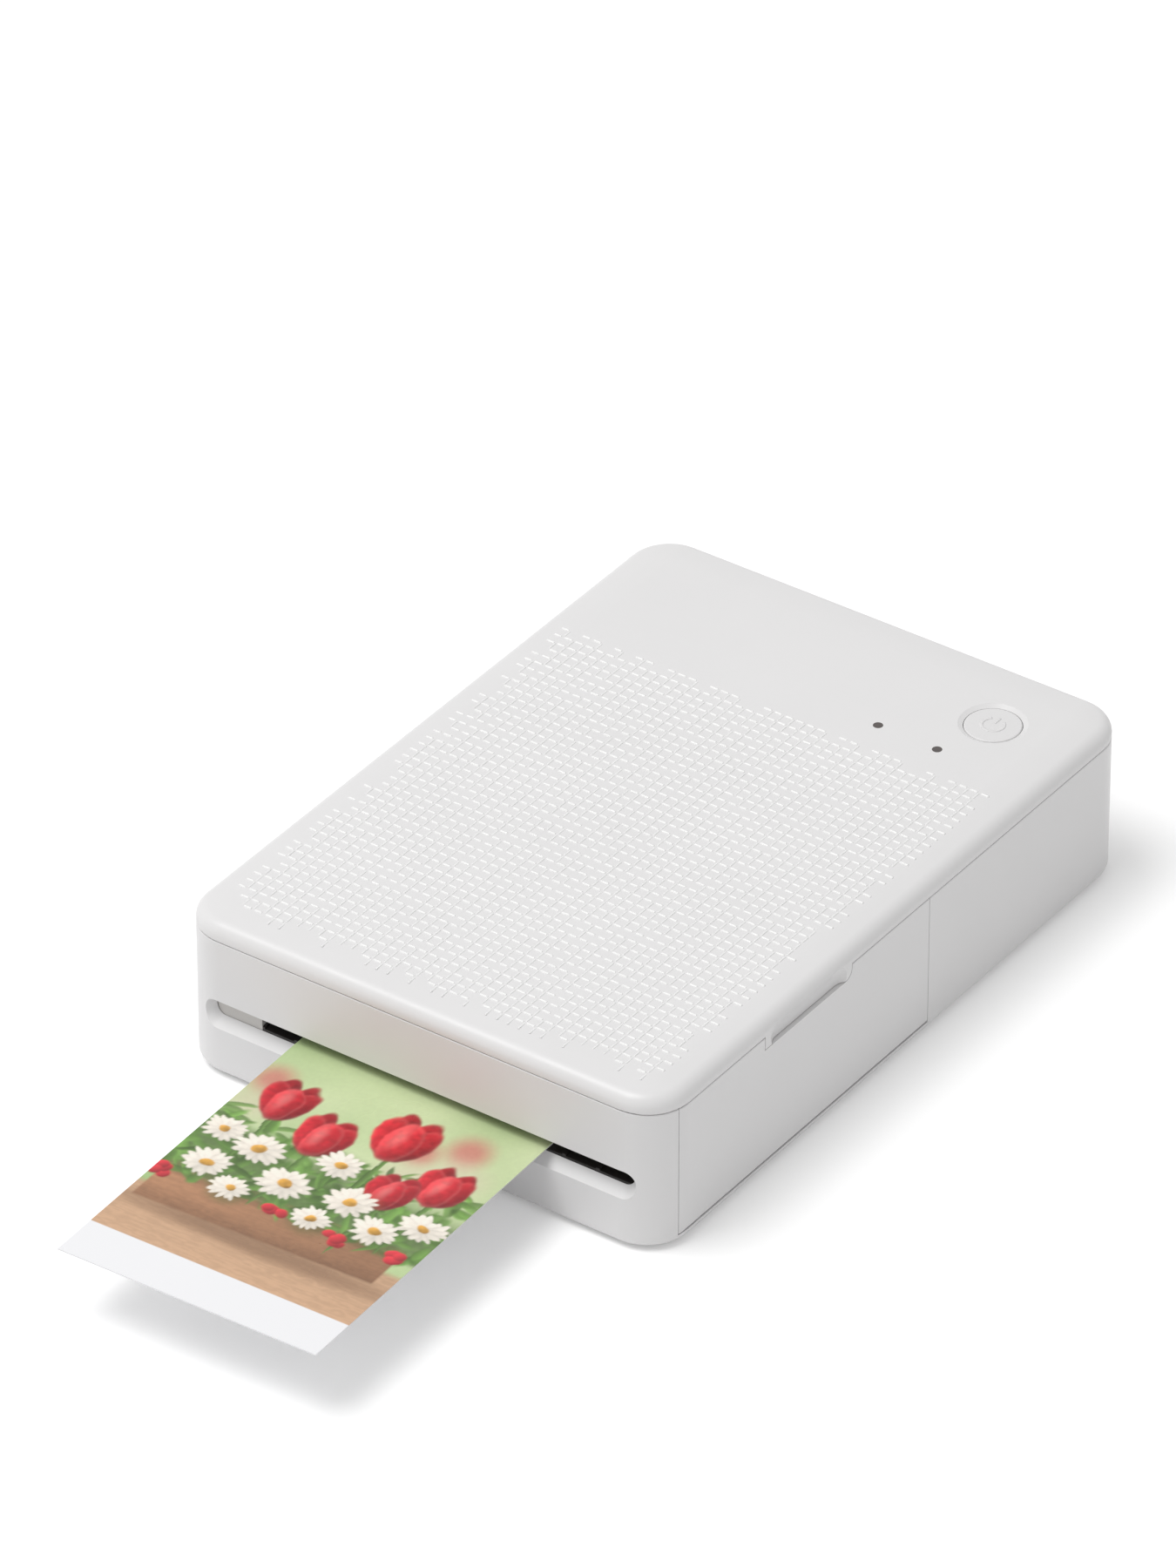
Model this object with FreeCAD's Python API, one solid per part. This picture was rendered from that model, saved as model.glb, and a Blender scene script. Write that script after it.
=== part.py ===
import FreeCAD, Part
import math
import os

# Compact photo printer with a side cassette door, a paper cover in its floor and a print coming out.
# Millimetres. X to the right, Y to the back, Z up. Origin: centre of the case on the standing plane.

os.makedirs("parts", exist_ok=True)
V = FreeCAD.Vector

# Shares and fits used everywhere
half_share = 0.5
overrun = 3.0
seam_gap = 0.15
slip_gap = 0.3
running_gap = 0.05

# Overall case
case_width = 102.2
case_depth = 145.8
total_height = 32.9
cover_height = 3.8
corner_radius = 8.6
wall = 2.0
cover_wall = 1.8
floor_thickness = 1.8
foot_height = 0.6
bottom_fillet = 1.9
seam_round = 0.2

half_width = case_width * half_share
half_depth = case_depth * half_share
inner_x = half_width - wall
inner_y = half_depth - wall
floor_top = foot_height + floor_thickness
seam_height = total_height - cover_height
case_rim = seam_height - seam_gap
cover_underside = total_height - cover_wall

# Crown of the top cover
edge_radius = 2.6
crown_inset = 8.0
crown_rise = 0.5

# Height of the printed sheet's underside where it leaves the case
path_height = 13.8

# Front slot, in the front wall
slot_left_inset = 5.3
slot_right_inset = 4.8
slot_drop = 3.3
slot_rise = 2.6
throat_drop = 1.5
throat_rise = 2.5
throat_end_inset = 1.7

slot_left = -half_width + slot_left_inset
slot_right = half_width - slot_right_inset
slot_bottom = path_height - slot_drop
slot_top = path_height + slot_rise
throat_bottom = path_height - throat_drop
throat_top = path_height + throat_rise

# Cassette door in the right wall
door_front_inset = 6.1
door_length = 75.9
door_bottom = 2.35
door_wall = 1.8
door_barrel_radius = 1.9
door_edge_round = 0.5
door_swing_gap = 0.12
hinge_pin_radius = 0.75
hinge_pin_hold = 3.3
hinge_pin_seat = 1.5
notch_start = 25.3
notch_length = 26.6
notch_depth = 2.75
notch_radius = 2.0

door_front = -half_depth + door_front_inset
door_back = door_front + door_length
notch_front = door_front + notch_start
notch_back = notch_front + notch_length
notch_bottom = seam_height - notch_depth

# Print and its path
sheet_width = 53.0
sheet_length = 106.0
sheet_thickness = 0.25
sheet_out = 69.4
sheet_skew = 1.6
sheet_shift = -1.4
path_gap = 0.05
gear_space = 14.1
door_space = 10.1
stack_count = 10

path_top = path_height + sheet_thickness
sheet_front = -half_depth - sheet_out
sheet_back = sheet_front + sheet_length

# Chassis plates either side of the paper path
plate_thickness = 1.2
plate_front_inset = 5.2
plate_back_inset = 20.9
plate_roof_gap = 0.3
horn_front_gap = 0.5
horn_bottom = 18.0
horn_top = 27.3

plate_front = -half_depth + plate_front_inset
plate_back = half_depth - plate_back_inset
plate_top = cover_underside - plate_roof_gap
horn_front = -inner_y + horn_front_gap
plate_inner_left = -half_width + gear_space
plate_inner_right = half_width - door_space
path_width = plate_inner_right - plate_inner_left
sheet_centre_x = (plate_inner_left + plate_inner_right) * half_share
plate_outer_left = plate_inner_left - plate_thickness
plate_outer_right = plate_inner_right + plate_thickness
roller_left = plate_inner_left + 3 * slip_gap
roller_right = plate_inner_right - 3 * slip_gap

# Rollers and spools: radius, and the step from one to the next along the depth
feed_radius = 2.5
pinch_radius = 2.2
platen_radius = 3.0
exit_radius = 2.6
exit_pinch_radius = 2.0
pickup_radius = 3.3
exit_inset = 8.4
exit_to_takeup = 11.5
takeup_to_platen = 22.7
platen_to_feed = 11.8
feed_to_supply = 12.5
shaft_radius = 1.5
thin_shaft_radius = 1.0
bush_wall = 0.7

exit_y = -half_depth + exit_inset
takeup_y = exit_y + exit_to_takeup
platen_y = takeup_y + takeup_to_platen
feed_y = platen_y + platen_to_feed
supply_y = feed_y + feed_to_supply

feed_z = path_height - path_gap - feed_radius
pinch_z = path_top + path_gap + pinch_radius
platen_z = path_height - path_gap - platen_radius
exit_z = path_height - path_gap - exit_radius
exit_pinch_z = path_top + path_gap + exit_pinch_radius

# Ribbon cassette: two tubes joined at the door end
spool_rise = 7.8
tube_radius = 7.2
tube_wall = 0.7
supply_roll_radius = 6.0
takeup_roll_radius = 4.6
core_radius = 3.4
core_bore = 2.4
core_key_width = 1.6
core_key_reach = 2.9
cassette_end_thickness = 2.4
film_thickness = 0.08
film_margin = 2.0
film_gap = 0.07

spool_z = path_height + spool_rise
film_width = path_width - 2 * film_margin
film_height = path_top + film_gap

# Gears on the left of the chassis: module, tooth counts and layers outward from the plate
gear_module = 0.5
pressure_angle = 20.0
tooth_thinning = 0.12
tip_share = 0.9
root_share = 1.25
feed_teeth = 30
idler_teeth = 40
small_teeth = 16
large_teeth = 36
pinion_teeth = 14
hub_teeth = 32
ribbon_pinion_teeth = 18
inner_layer_gap = 0.6
inner_layer_width = 2.4
layer_gap = 0.4
outer_layer_width = 2.0
belt_layer_width = 1.8

inner_layer_right = plate_outer_left - inner_layer_gap
inner_layer_left = inner_layer_right - inner_layer_width
outer_layer_right = inner_layer_left - layer_gap
outer_layer_left = outer_layer_right - outer_layer_width
belt_layer_right = outer_layer_left - layer_gap
belt_layer_left = belt_layer_right - belt_layer_width

# Motors
supply_to_motor = 28.0
motor_z = 23.4
motor_radius = 7.5
motor_length = 19.0
motor_to_compound_angle = 40.0
motor_shaft_radius = 0.75
ribbon_motor_angle = 12.0
ribbon_motor_radius = 4.4
ribbon_motor_length = 14.0

motor_y = supply_y + supply_to_motor

# Thermal head
pivot_to_platen = 13.9
head_pivot_z = 27.4
head_gap = 0.2
head_strip_thickness = 1.2
head_strip_width = 5.8
bracket_top = 27.3
bridge_roof_gap = 0.7
bridge_thickness = 0.8
bridge_overlap = 3.0
bridge_length = 33.2
ear_width = 1.2
ear_radius = 2.6

head_pivot_y = platen_y - pivot_to_platen
head_strip_front = platen_y - head_strip_width * half_share
head_strip_back = platen_y + head_strip_width * half_share
bridge_bottom = cover_underside - bridge_roof_gap - bridge_thickness
bridge_front = head_pivot_y - bridge_overlap
bridge_back = bridge_front + bridge_length

# Paper bay in the floor
bay_side_gap = 1.0
bay_front_inset = 30.4
bay_back_inset = 7.15
cover_plate = 1.6
cover_barrel_radius = 1.6
cover_boss_width = 2.1
cover_boss_height = 1.8
lift_plate_bottom = 4.2
lift_plate_thickness = 0.7
lift_pin_radius = 0.7
lift_axis_inset = 10.75
pickup_inset = 21.75
stack_end_gap = 1.0

bay_left = plate_inner_left + bay_side_gap
bay_right = plate_inner_right - bay_side_gap
bay_front = -half_depth + bay_front_inset
bay_back = half_depth - bay_back_inset
lift_axis_y = bay_back - lift_axis_inset
pickup_y = bay_back - pickup_inset
stack_front = bay_front + stack_end_gap

# Power button and lamps
button_side_inset = 17.6
button_back_inset = 17.7
left_lamp_side_inset = 33.9
left_lamp_back_inset = 29.9
right_lamp_side_inset = 21.2
right_lamp_back_inset = 30.1
button_x = half_width - button_side_inset
button_y = half_depth - button_back_inset
button_radius = 5.25
button_gap = 0.12
recess_radius = 6.3
recess_depth = 0.45
button_drop = 0.3
button_travel = 0.7
lamp_radius = 0.93
left_lamp = (half_width - left_lamp_side_inset, half_depth - left_lamp_back_inset)
right_lamp = (half_width - right_lamp_side_inset, half_depth - right_lamp_back_inset)

# Electronics
board_motor_gap = 2.3
board_side_gap = 1.0
board_step = 8.0
board_back_inset = 3.9
board_drop = 9.9
board_thickness = 1.2
battery_height = 6.8
frame_bottom = 14.6
frame_thickness = 1.2
frame_tube_gap = 2.8
frame_back_inset = 4.9
usb_inset = 15.0
usb_width = 8.94
usb_height = 3.26
usb_length = 7.3
usb_opening_gap = 0.25

frame_front = supply_y + tube_radius + frame_tube_gap
frame_back = half_depth - frame_back_inset
frame_top = frame_bottom + frame_thickness
board_left = plate_inner_left + motor_length + bush_wall + board_motor_gap
board_right = plate_inner_right - board_side_gap
board_front = frame_front + board_step
board_back = half_depth - board_back_inset
board_bottom = total_height - board_drop
board_top = board_bottom + board_thickness
usb_x = board_left + usb_inset

# Fasteners
screw_radius = 1.0
screw_head_radius = 1.7
screw_head_height = 1.0
screw_clearance = 0.05
case_screw_side_inset = 6.5
case_screw_back_inset = 15.9
case_screw_step = 25.0
case_screw_length = 7.5
case_boss_radius = 2.2

case_screw_x = half_width - case_screw_side_inset
case_screw_back = half_depth - case_screw_back_inset
case_screw_ys = (case_screw_back - case_screw_step, case_screw_back)


# Solids used over and over
def block(x0, x1, y0, y1, z0, z1):
    return Part.makeBox(x1 - x0, y1 - y0, z1 - z0, V(x0, y0, z0))


def rod_x(x0, x1, y, z, radius):
    return Part.makeCylinder(radius, x1 - x0, V(x0, y, z), V(1, 0, 0))


def rod_y(y0, y1, x, z, radius):
    return Part.makeCylinder(radius, y1 - y0, V(x, y0, z), V(0, 1, 0))


def rod_z(z0, z1, x, y, radius):
    return Part.makeCylinder(radius, z1 - z0, V(x, y, z0), V(0, 0, 1))


def prism_x(points, x0, x1):
    corners = [V(x0, y, z) for y, z in points]
    face = Part.Face(Part.makePolygon(corners + corners[:1]))
    return face.extrude(V(x1 - x0, 0, 0))


def fused(shapes):
    whole = shapes[0]
    for shape in shapes[1:]:
        whole = whole.fuse(shape)
    return whole.removeSplitter()


def rounded_outline(x0, x1, y0, y1, radius, z):
    mid = radius * (1 - math.sqrt(half_share))
    west, east = V(x0, 0, z), V(x1, 0, z)
    lines = []
    corners = (
        (V(x1, y1 - radius, z), V(x1 - mid, y1 - mid, z), V(x1 - radius, y1, z)),
        (V(x0 + radius, y1, z), V(x0 + mid, y1 - mid, z), V(x0, y1 - radius, z)),
        (V(x0, y0 + radius, z), V(x0 + mid, y0 + mid, z), V(x0 + radius, y0, z)),
        (V(x1 - radius, y0, z), V(x1 - mid, y0 + mid, z), V(x1, y0 + radius, z)),
    )
    before = V(x1, y0 + radius, z)
    for first, middle, last in corners:
        lines.append(Part.LineSegment(before, first).toShape())
        lines.append(Part.Arc(first, middle, last).toShape())
        before = last
    return Part.Wire(lines)


def rounded_block(x0, x1, y0, y1, z0, z1, radius):
    outline = rounded_outline(x0, x1, y0, y1, radius, z0)
    return Part.Face(outline).extrude(V(0, 0, z1 - z0))


def case_block(inset, z0, z1):
    x = half_width - inset
    y = half_depth - inset
    return rounded_block(-x, x, -y, y, z0, z1, corner_radius - inset)


def stadium(x0, x1, z0, z1, y):
    radius = (z1 - z0) * half_share
    mid = z0 + radius
    top = Part.LineSegment(V(x0 + radius, y, z1), V(x1 - radius, y, z1)).toShape()
    right = Part.Arc(V(x1 - radius, y, z1), V(x1, y, mid), V(x1 - radius, y, z0)).toShape()
    bottom = Part.LineSegment(V(x1 - radius, y, z0), V(x0 + radius, y, z0)).toShape()
    left = Part.Arc(V(x0 + radius, y, z0), V(x0, y, mid), V(x0 + radius, y, z1)).toShape()
    return Part.Wire([top, right, bottom, left])


def save(node, shapes):
    listed = shapes if isinstance(shapes, list) else [shapes]
    solids = [solid for shape in listed for solid in shape.Solids]
    whole = solids[0] if len(solids) == 1 else Part.makeCompound(solids)
    good = all(solid.isValid() and solid.Volume > 0 for solid in solids)
    print(node, len(solids), "solid(s)", round(whole.Volume, 2), "mm3", "valid" if good else "NOT VALID")
    whole.exportStep("parts/" + node + ".step")


# Spur gear about an axis along X, a tooth centred at the given angle from +Y towards +Z
def inverse_tangent_gap(angle):
    return math.tan(angle) - angle


def gear_blank(teeth, x0, x1, y, z, start):
    pitch_radius = gear_module * teeth * half_share
    base_radius = pitch_radius * math.cos(math.radians(pressure_angle))
    tip_radius = pitch_radius + gear_module * tip_share
    root_radius = pitch_radius - gear_module * root_share
    half_tooth = math.pi * half_share / teeth - tooth_thinning * half_share / pitch_radius
    pressure = inverse_tangent_gap(math.radians(pressure_angle))
    lowest = max(base_radius, root_radius)
    radii = [lowest + (tip_radius - lowest) * step / 3 for step in range(4)]
    if root_radius < base_radius:
        radii.insert(0, root_radius)
    flank = []
    for radius in radii:
        turn = math.acos(min(1.0, base_radius / radius))
        flank.append((radius, half_tooth + pressure - inverse_tangent_gap(turn)))
    points = []
    for tooth in range(teeth):
        centre = start + 2 * math.pi * tooth / teeth
        points += [(radius, centre - half) for radius, half in flank]
        points += [(radius, centre + half) for radius, half in reversed(flank)]
    outline = [(y + radius * math.cos(a), z + radius * math.sin(a)) for radius, a in points]
    return prism_x(outline, x0, x1)


def meshed_start(from_centre, from_teeth, from_start, to_centre, to_teeth):
    line = math.atan2(to_centre[1] - from_centre[1], to_centre[0] - from_centre[0])
    back = from_teeth / to_teeth * (from_start - line)
    return line + math.pi - back + math.pi / to_teeth


def pitch_distance(teeth_a, teeth_b):
    return gear_module * (teeth_a + teeth_b) * half_share


def with_bore(shape, x0, x1, y, z, radius):
    return shape.cut(rod_x(x0 - overrun, x1 + overrun, y, z, radius))


# Main case: tub with slot, door opening, paper bay, hinge bosses and screw bosses
def case_outside():
    outer = case_block(0, foot_height, case_rim)
    low = [edge for edge in outer.Edges if edge.BoundBox.ZMax < foot_height + running_gap]
    outer = outer.makeFillet(bottom_fillet, low)
    high = [edge for edge in outer.Edges if edge.BoundBox.ZMin > case_rim - running_gap]
    return outer.makeFillet(seam_round, high)


ring_inset = 2.1
ring_width = 2.4
ring_seat = 0.5
door_axis_x = half_width - door_barrel_radius
door_axis_z = door_bottom + seam_gap + door_barrel_radius
door_boss_depth = 3.6
door_boss_width = 4.6
door_boss_top = door_axis_z + door_barrel_radius
door_corner_reach = math.sqrt(2) * (door_barrel_radius - door_edge_round) + door_edge_round
door_channel_radius = door_corner_reach + door_swing_gap
cover_axis_y = bay_back - seam_gap - cover_barrel_radius
cover_axis_z = foot_height + cover_barrel_radius
boss_top = floor_top + foot_height
hook_x = 12.0
hook_width = 8.0
hook_reach = 0.5
hook_drop = 3.9
hook_bottom = seam_height - hook_drop
hook_height = 1.2
hook_thickness = 1.1
front_tab_inset = 29.7
back_tab_inset = 6.0
chassis_screw_ys = (plate_front + front_tab_inset, plate_back - back_tab_inset)
tab_reach = 4.4
tab_width = 7.0
tab_thickness = 1.2
tab_screw_reach = 2.3


def foot_ring_block(extra, z0, z1):
    outer = case_block(ring_inset - extra, z0, z1)
    inner = case_block(ring_inset + ring_width + extra, z0 - overrun, z1 + overrun)
    return outer.cut(inner)


def slot_mouth():
    depth = overrun
    slope = (throat_bottom - slot_bottom) / wall
    rise = (slot_top - throat_top) / wall
    side = throat_end_inset / wall
    front = stadium(
        slot_left - side * depth,
        slot_right + side * depth,
        slot_bottom - slope * depth,
        slot_top + rise * depth,
        -half_depth - depth,
    )
    back = stadium(
        slot_left + throat_end_inset,
        slot_right - throat_end_inset,
        throat_bottom,
        throat_top,
        -inner_y,
    )
    mouth = Part.makeLoft([front, back], True, True)
    throat = Part.Face(back).extrude(V(0, overrun, 0))
    return mouth.fuse(throat)


def usb_opening():
    margin = usb_opening_gap
    outline = stadium(
        usb_x - usb_width * half_share - margin,
        usb_x + usb_width * half_share + margin,
        board_bottom - usb_height - margin,
        board_bottom + margin,
        half_depth + overrun,
    )
    return Part.Face(outline).extrude(V(0, -wall - 2 * overrun, 0))


def make_main_case():
    tub = case_outside()
    tub = tub.cut(case_block(wall, floor_top, total_height))
    adds = []
    for x in (-case_screw_x, case_screw_x):
        for y in case_screw_ys:
            adds.append(rod_z(foot_height, boss_top, x, y, case_boss_radius))
    boss_limit = case_block(wall * half_share, floor_top, door_boss_top)
    for y0, y1 in (
        (door_front - door_boss_depth, door_front),
        (door_back, door_back + door_boss_depth),
    ):
        boss = block(half_width - door_boss_width, half_width, y0, y1, floor_top, door_boss_top)
        adds.append(boss.common(boss_limit))
    boss_front = cover_axis_y - cover_barrel_radius - floor_thickness * half_share
    for x0, x1 in (
        (bay_left - cover_boss_width, bay_left),
        (bay_right, bay_right + cover_boss_width),
    ):
        adds.append(block(x0, x1, boss_front, bay_back, floor_top, floor_top + cover_boss_height))
    tub = fused([tub] + adds)
    seat = hinge_pin_seat
    cuts = [
        slot_mouth(),
        usb_opening(),
        block(
            half_width - door_boss_width - wall,
            half_width + overrun,
            door_front,
            door_back,
            door_bottom,
            total_height,
        ),
        rod_y(door_front, door_back, door_axis_x, door_axis_z, door_channel_radius),
        block(bay_left, bay_right, bay_front, bay_back, -overrun, floor_top + overrun),
        foot_ring_block(0, -overrun, foot_height + ring_seat),
        rod_y(door_front - seat, door_back + seat, door_axis_x, door_axis_z, hinge_pin_radius),
        rod_x(bay_left - seat, bay_right + seat, cover_axis_y, cover_axis_z, hinge_pin_radius),
    ]
    for x in (-case_screw_x, case_screw_x):
        for y in case_screw_ys:
            head_top = foot_height + screw_head_height + slip_gap
            cuts.append(rod_z(-overrun, head_top, x, y, screw_head_radius + screw_clearance))
            cuts.append(rod_z(foot_height, boss_top + overrun, x, y, screw_radius + screw_clearance))
    for x in (plate_outer_left - tab_screw_reach, plate_outer_right + tab_screw_reach):
        for y in chassis_screw_ys:
            cuts.append(rod_z(floor_top - tab_thickness, floor_top + overrun, x, y, screw_radius))
    for x in (-hook_x, hook_x):
        half = hook_width * half_share + slip_gap
        pocket_bottom = hook_bottom - slip_gap
        pocket_top = hook_bottom + hook_height + slip_gap
        cuts.append(
            block(
                x - half,
                x + half,
                -inner_y - hook_reach - slip_gap,
                -inner_y + overrun,
                pocket_bottom,
                pocket_top,
            )
        )
    for tool in cuts:
        tub = tub.cut(tool)
    return tub.removeSplitter()


def make_foot_ring():
    return foot_ring_block(0, 0, foot_height + ring_seat)


# Top cover: crowned lid with lip, tab, hooks, screw bosses and openings
lip_depth = 1.5
lip_width = 1.0
lip_gap = 0.15
tab_screen = 0.15
scoop_radius = 3.4
scoop_out = 2.3
scoop_drop = 1.35
scoop_end = 0.9
button_flange_radius = 6.4
button_flange_thickness = 0.8


# The waste above the crown: its profile on the right side, run along the sides and round the corners
def crown_profile():
    lean = 2 * math.atan(crown_rise / (crown_inset - edge_radius))
    fillet_inset = edge_radius * (1 - math.sin(lean))
    shoulder = crown_inset - fillet_inset
    shoulder_rise = shoulder * math.tan(lean * half_share)
    shoulder_z = total_height - shoulder_rise
    fillet_z = shoulder_z - edge_radius * math.cos(lean)
    mid_turn = (math.pi * half_share - lean) * half_share
    x = half_width

    def spot(inset, z):
        return V(x - inset, 0, z)

    side_low = spot(0, fillet_z)
    side_mid = spot(edge_radius * (1 - math.cos(mid_turn)), fillet_z + edge_radius * math.sin(mid_turn))
    side_high = spot(fillet_inset, shoulder_z)
    half_lean = lean * half_share
    crown_radius = shoulder / math.sin(lean)
    mid_inset = crown_inset - crown_radius * math.sin(half_lean)
    crown_mid = spot(mid_inset, total_height - crown_radius * (1 - math.cos(half_lean)))
    crown_end = spot(crown_inset, total_height)
    above = spot(crown_inset, total_height + overrun)
    corner = spot(-overrun, total_height + overrun)
    outside = spot(-overrun, fillet_z)
    profile = Part.Wire(
        [
            Part.Arc(side_low, side_mid, side_high).toShape(),
            Part.Arc(side_high, crown_mid, crown_end).toShape(),
            Part.LineSegment(crown_end, above).toShape(),
            Part.LineSegment(above, corner).toShape(),
            Part.LineSegment(corner, outside).toShape(),
            Part.LineSegment(outside, side_low).toShape(),
        ]
    )
    return Part.Face(profile)


def crown_waste():
    profile = crown_profile()
    turn_x = half_width - corner_radius
    turn_y = half_depth - corner_radius
    side = profile.translated(V(0, -turn_y, 0)).extrude(V(0, 2 * turn_y, 0))
    corner = profile.translated(V(0, turn_y, 0)).revolve(V(turn_x, turn_y, 0), V(0, 0, 1), 90)
    end = profile.translated(V(half_depth - half_width, -turn_x, 0)).extrude(V(0, 2 * turn_x, 0))
    end = end.rotated(V(0, 0, 0), V(0, 0, 1), 90)
    pieces = []
    for piece in (side, corner, end):
        pieces.append(piece)
        pieces.append(piece.rotated(V(0, 0, 0), V(0, 0, 1), 180))
    for sign in (1, -1):
        pieces.append(corner.mirror(V(0, 0, 0), V(1, 0, 0) if sign > 0 else V(0, 1, 0)))
    return pieces


def finger_scoop():
    x = half_width + scoop_out
    z = seam_height - scoop_drop
    front = notch_front + scoop_end + scoop_radius
    back = notch_back - scoop_end - scoop_radius
    trough = rod_y(front, back, x, z, scoop_radius)
    ends = [Part.makeSphere(scoop_radius, V(x, y, z)) for y in (front, back)]
    return fused([trough] + ends)


# The notch in the door's upper edge, its lower back corner rounded; grown or shrunk by a margin
def notch_shape(margin, x0, x1, top):
    front = notch_front - margin
    back = notch_back + margin
    low = notch_bottom - margin
    radius = notch_radius + margin
    body = block(x0, x1, front, back - radius, low, top)
    rise = block(x0, x1, back - radius, back, low + radius, top)
    turn = rod_x(x0, x1, back - radius, low + radius, radius)
    return fused([body, rise, turn])


def make_top_cover():
    lid = case_block(0, seam_height, total_height)
    low = [edge for edge in lid.Edges if edge.BoundBox.ZMax < seam_height + running_gap]
    lid = lid.makeFillet(seam_round, low)
    for waste in crown_waste():
        lid = lid.cut(waste)
    lid = lid.cut(case_block(cover_wall, seam_height - overrun, cover_underside))
    lip = case_block(wall + lip_gap, seam_height - lip_depth, cover_underside)
    lip = lip.cut(case_block(wall + lip_gap + lip_width, seam_height - lip_depth - overrun, total_height))
    over_door = block(
        inner_x - 2 * wall,
        half_width,
        door_front,
        door_back,
        seam_height - lip_depth - overrun,
        seam_height,
    )
    lip = lip.cut(over_door)
    tab = notch_shape(
        -tab_screen,
        half_width - wall - lip_gap - lip_width,
        half_width,
        seam_height + seam_round,
    )
    adds = [lip, tab]
    for x in (-case_screw_x, case_screw_x):
        for y in case_screw_ys:
            adds.append(rod_z(boss_top, cover_underside, x, y, case_boss_radius))
    for x in (-hook_x, hook_x):
        half = hook_width * half_share
        back = -inner_y + lip_gap + hook_thickness
        adds.append(block(x - half, x + half, -inner_y + lip_gap, back, hook_bottom, seam_height))
        adds.append(
            block(x - half, x + half, -inner_y - hook_reach, back, hook_bottom, hook_bottom + hook_height)
        )
    lid = fused([lid] + adds)
    lid = lid.cut(finger_scoop())
    dish = Part.makeCone(
        button_radius + button_gap,
        recess_radius + recess_radius - button_radius - button_gap,
        2 * recess_depth,
        V(button_x, button_y, total_height - recess_depth),
    )
    lid = lid.cut(dish)
    button_hole = button_radius + button_gap
    lid = lid.cut(
        rod_z(cover_underside - overrun, total_height + overrun, button_x, button_y, button_hole)
    )
    for x, y in (left_lamp, right_lamp):
        lid = lid.cut(rod_z(cover_underside - overrun, total_height + overrun, x, y, lamp_radius))
    pilot_top = boss_top + case_screw_length
    for x in (-case_screw_x, case_screw_x):
        for y in case_screw_ys:
            lid = lid.cut(rod_z(boss_top - overrun, pilot_top, x, y, screw_radius))
    return lid.removeSplitter()


def make_case_screws():
    screws = []
    for x in (-case_screw_x, case_screw_x):
        for y in case_screw_ys:
            head_bottom = foot_height + slip_gap
            head = rod_z(head_bottom, head_bottom + screw_head_height, x, y, screw_head_radius)
            shank = rod_z(head_bottom, boss_top + case_screw_length - slip_gap, x, y, screw_radius)
            socket_top = head_bottom + screw_head_height * half_share
            socket = rod_z(head_bottom - overrun, socket_top, x, y, screw_radius)
            screws.append(fused([head, shank]).cut(socket))
    return screws


# Cassette door and its pins
def make_cassette_door():
    gap = seam_gap
    shell = case_outside().cut(case_block(door_wall, -overrun, total_height))
    window = block(
        half_width - corner_radius,
        half_width + overrun,
        door_front + gap,
        door_back - gap,
        door_bottom + gap,
        case_rim,
    )
    low = block(
        half_width - door_edge_round,
        half_width + overrun,
        door_front,
        door_back,
        door_bottom,
        door_bottom + gap + door_edge_round,
    )
    low_round = rod_y(
        door_front,
        door_back,
        half_width - door_edge_round,
        door_bottom + gap + door_edge_round,
        door_edge_round,
    )
    leaf = shell.common(window).cut(low.cut(low_round))
    barrel = rod_y(door_front + gap, door_back - gap, door_axis_x, door_axis_z, door_barrel_radius)
    barrel = barrel.common(case_block(0, foot_height, case_rim))
    notch = notch_shape(0, inner_x - overrun, half_width + overrun, total_height)
    rib_depth = door_wall * half_share
    ribs = [
        block(
            half_width - door_wall - rib_depth,
            half_width - door_wall,
            y,
            y + rib_depth,
            door_axis_z,
            notch_bottom - rib_depth,
        )
        for y in (notch_front, (notch_front + notch_back) * half_share, notch_back)
    ]
    door = fused([leaf, barrel] + ribs).cut(notch)
    hole = hinge_pin_radius + running_gap
    for y0, y1 in (
        (door_front - overrun, door_front + hinge_pin_hold),
        (door_back - hinge_pin_hold, door_back + overrun),
    ):
        door = door.cut(rod_y(y0, y1, door_axis_x, door_axis_z, hole))
    return door.removeSplitter()


# Paper cover in the floor, with ears for the lift plate
ear_thickness = 1.6
ear_gap = 0.3
lift_side_gap = 8.0
lift_plate_left = bay_left + lift_side_gap
lift_plate_right = bay_right - lift_side_gap
nail_radius = 24.0
nail_depth = 0.9
spring_front_inset = 11.5
spring_side_inset = 14.0
spring_y = stack_front + spring_front_inset
spring_xs = (lift_plate_left + spring_side_inset, lift_plate_right - spring_side_inset)
spring_radius = 2.5
spring_wire = 0.2
spring_turns = 3
lift_axis_z = lift_plate_bottom + lift_plate_thickness * half_share
cover_inner = foot_height + cover_plate


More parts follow.
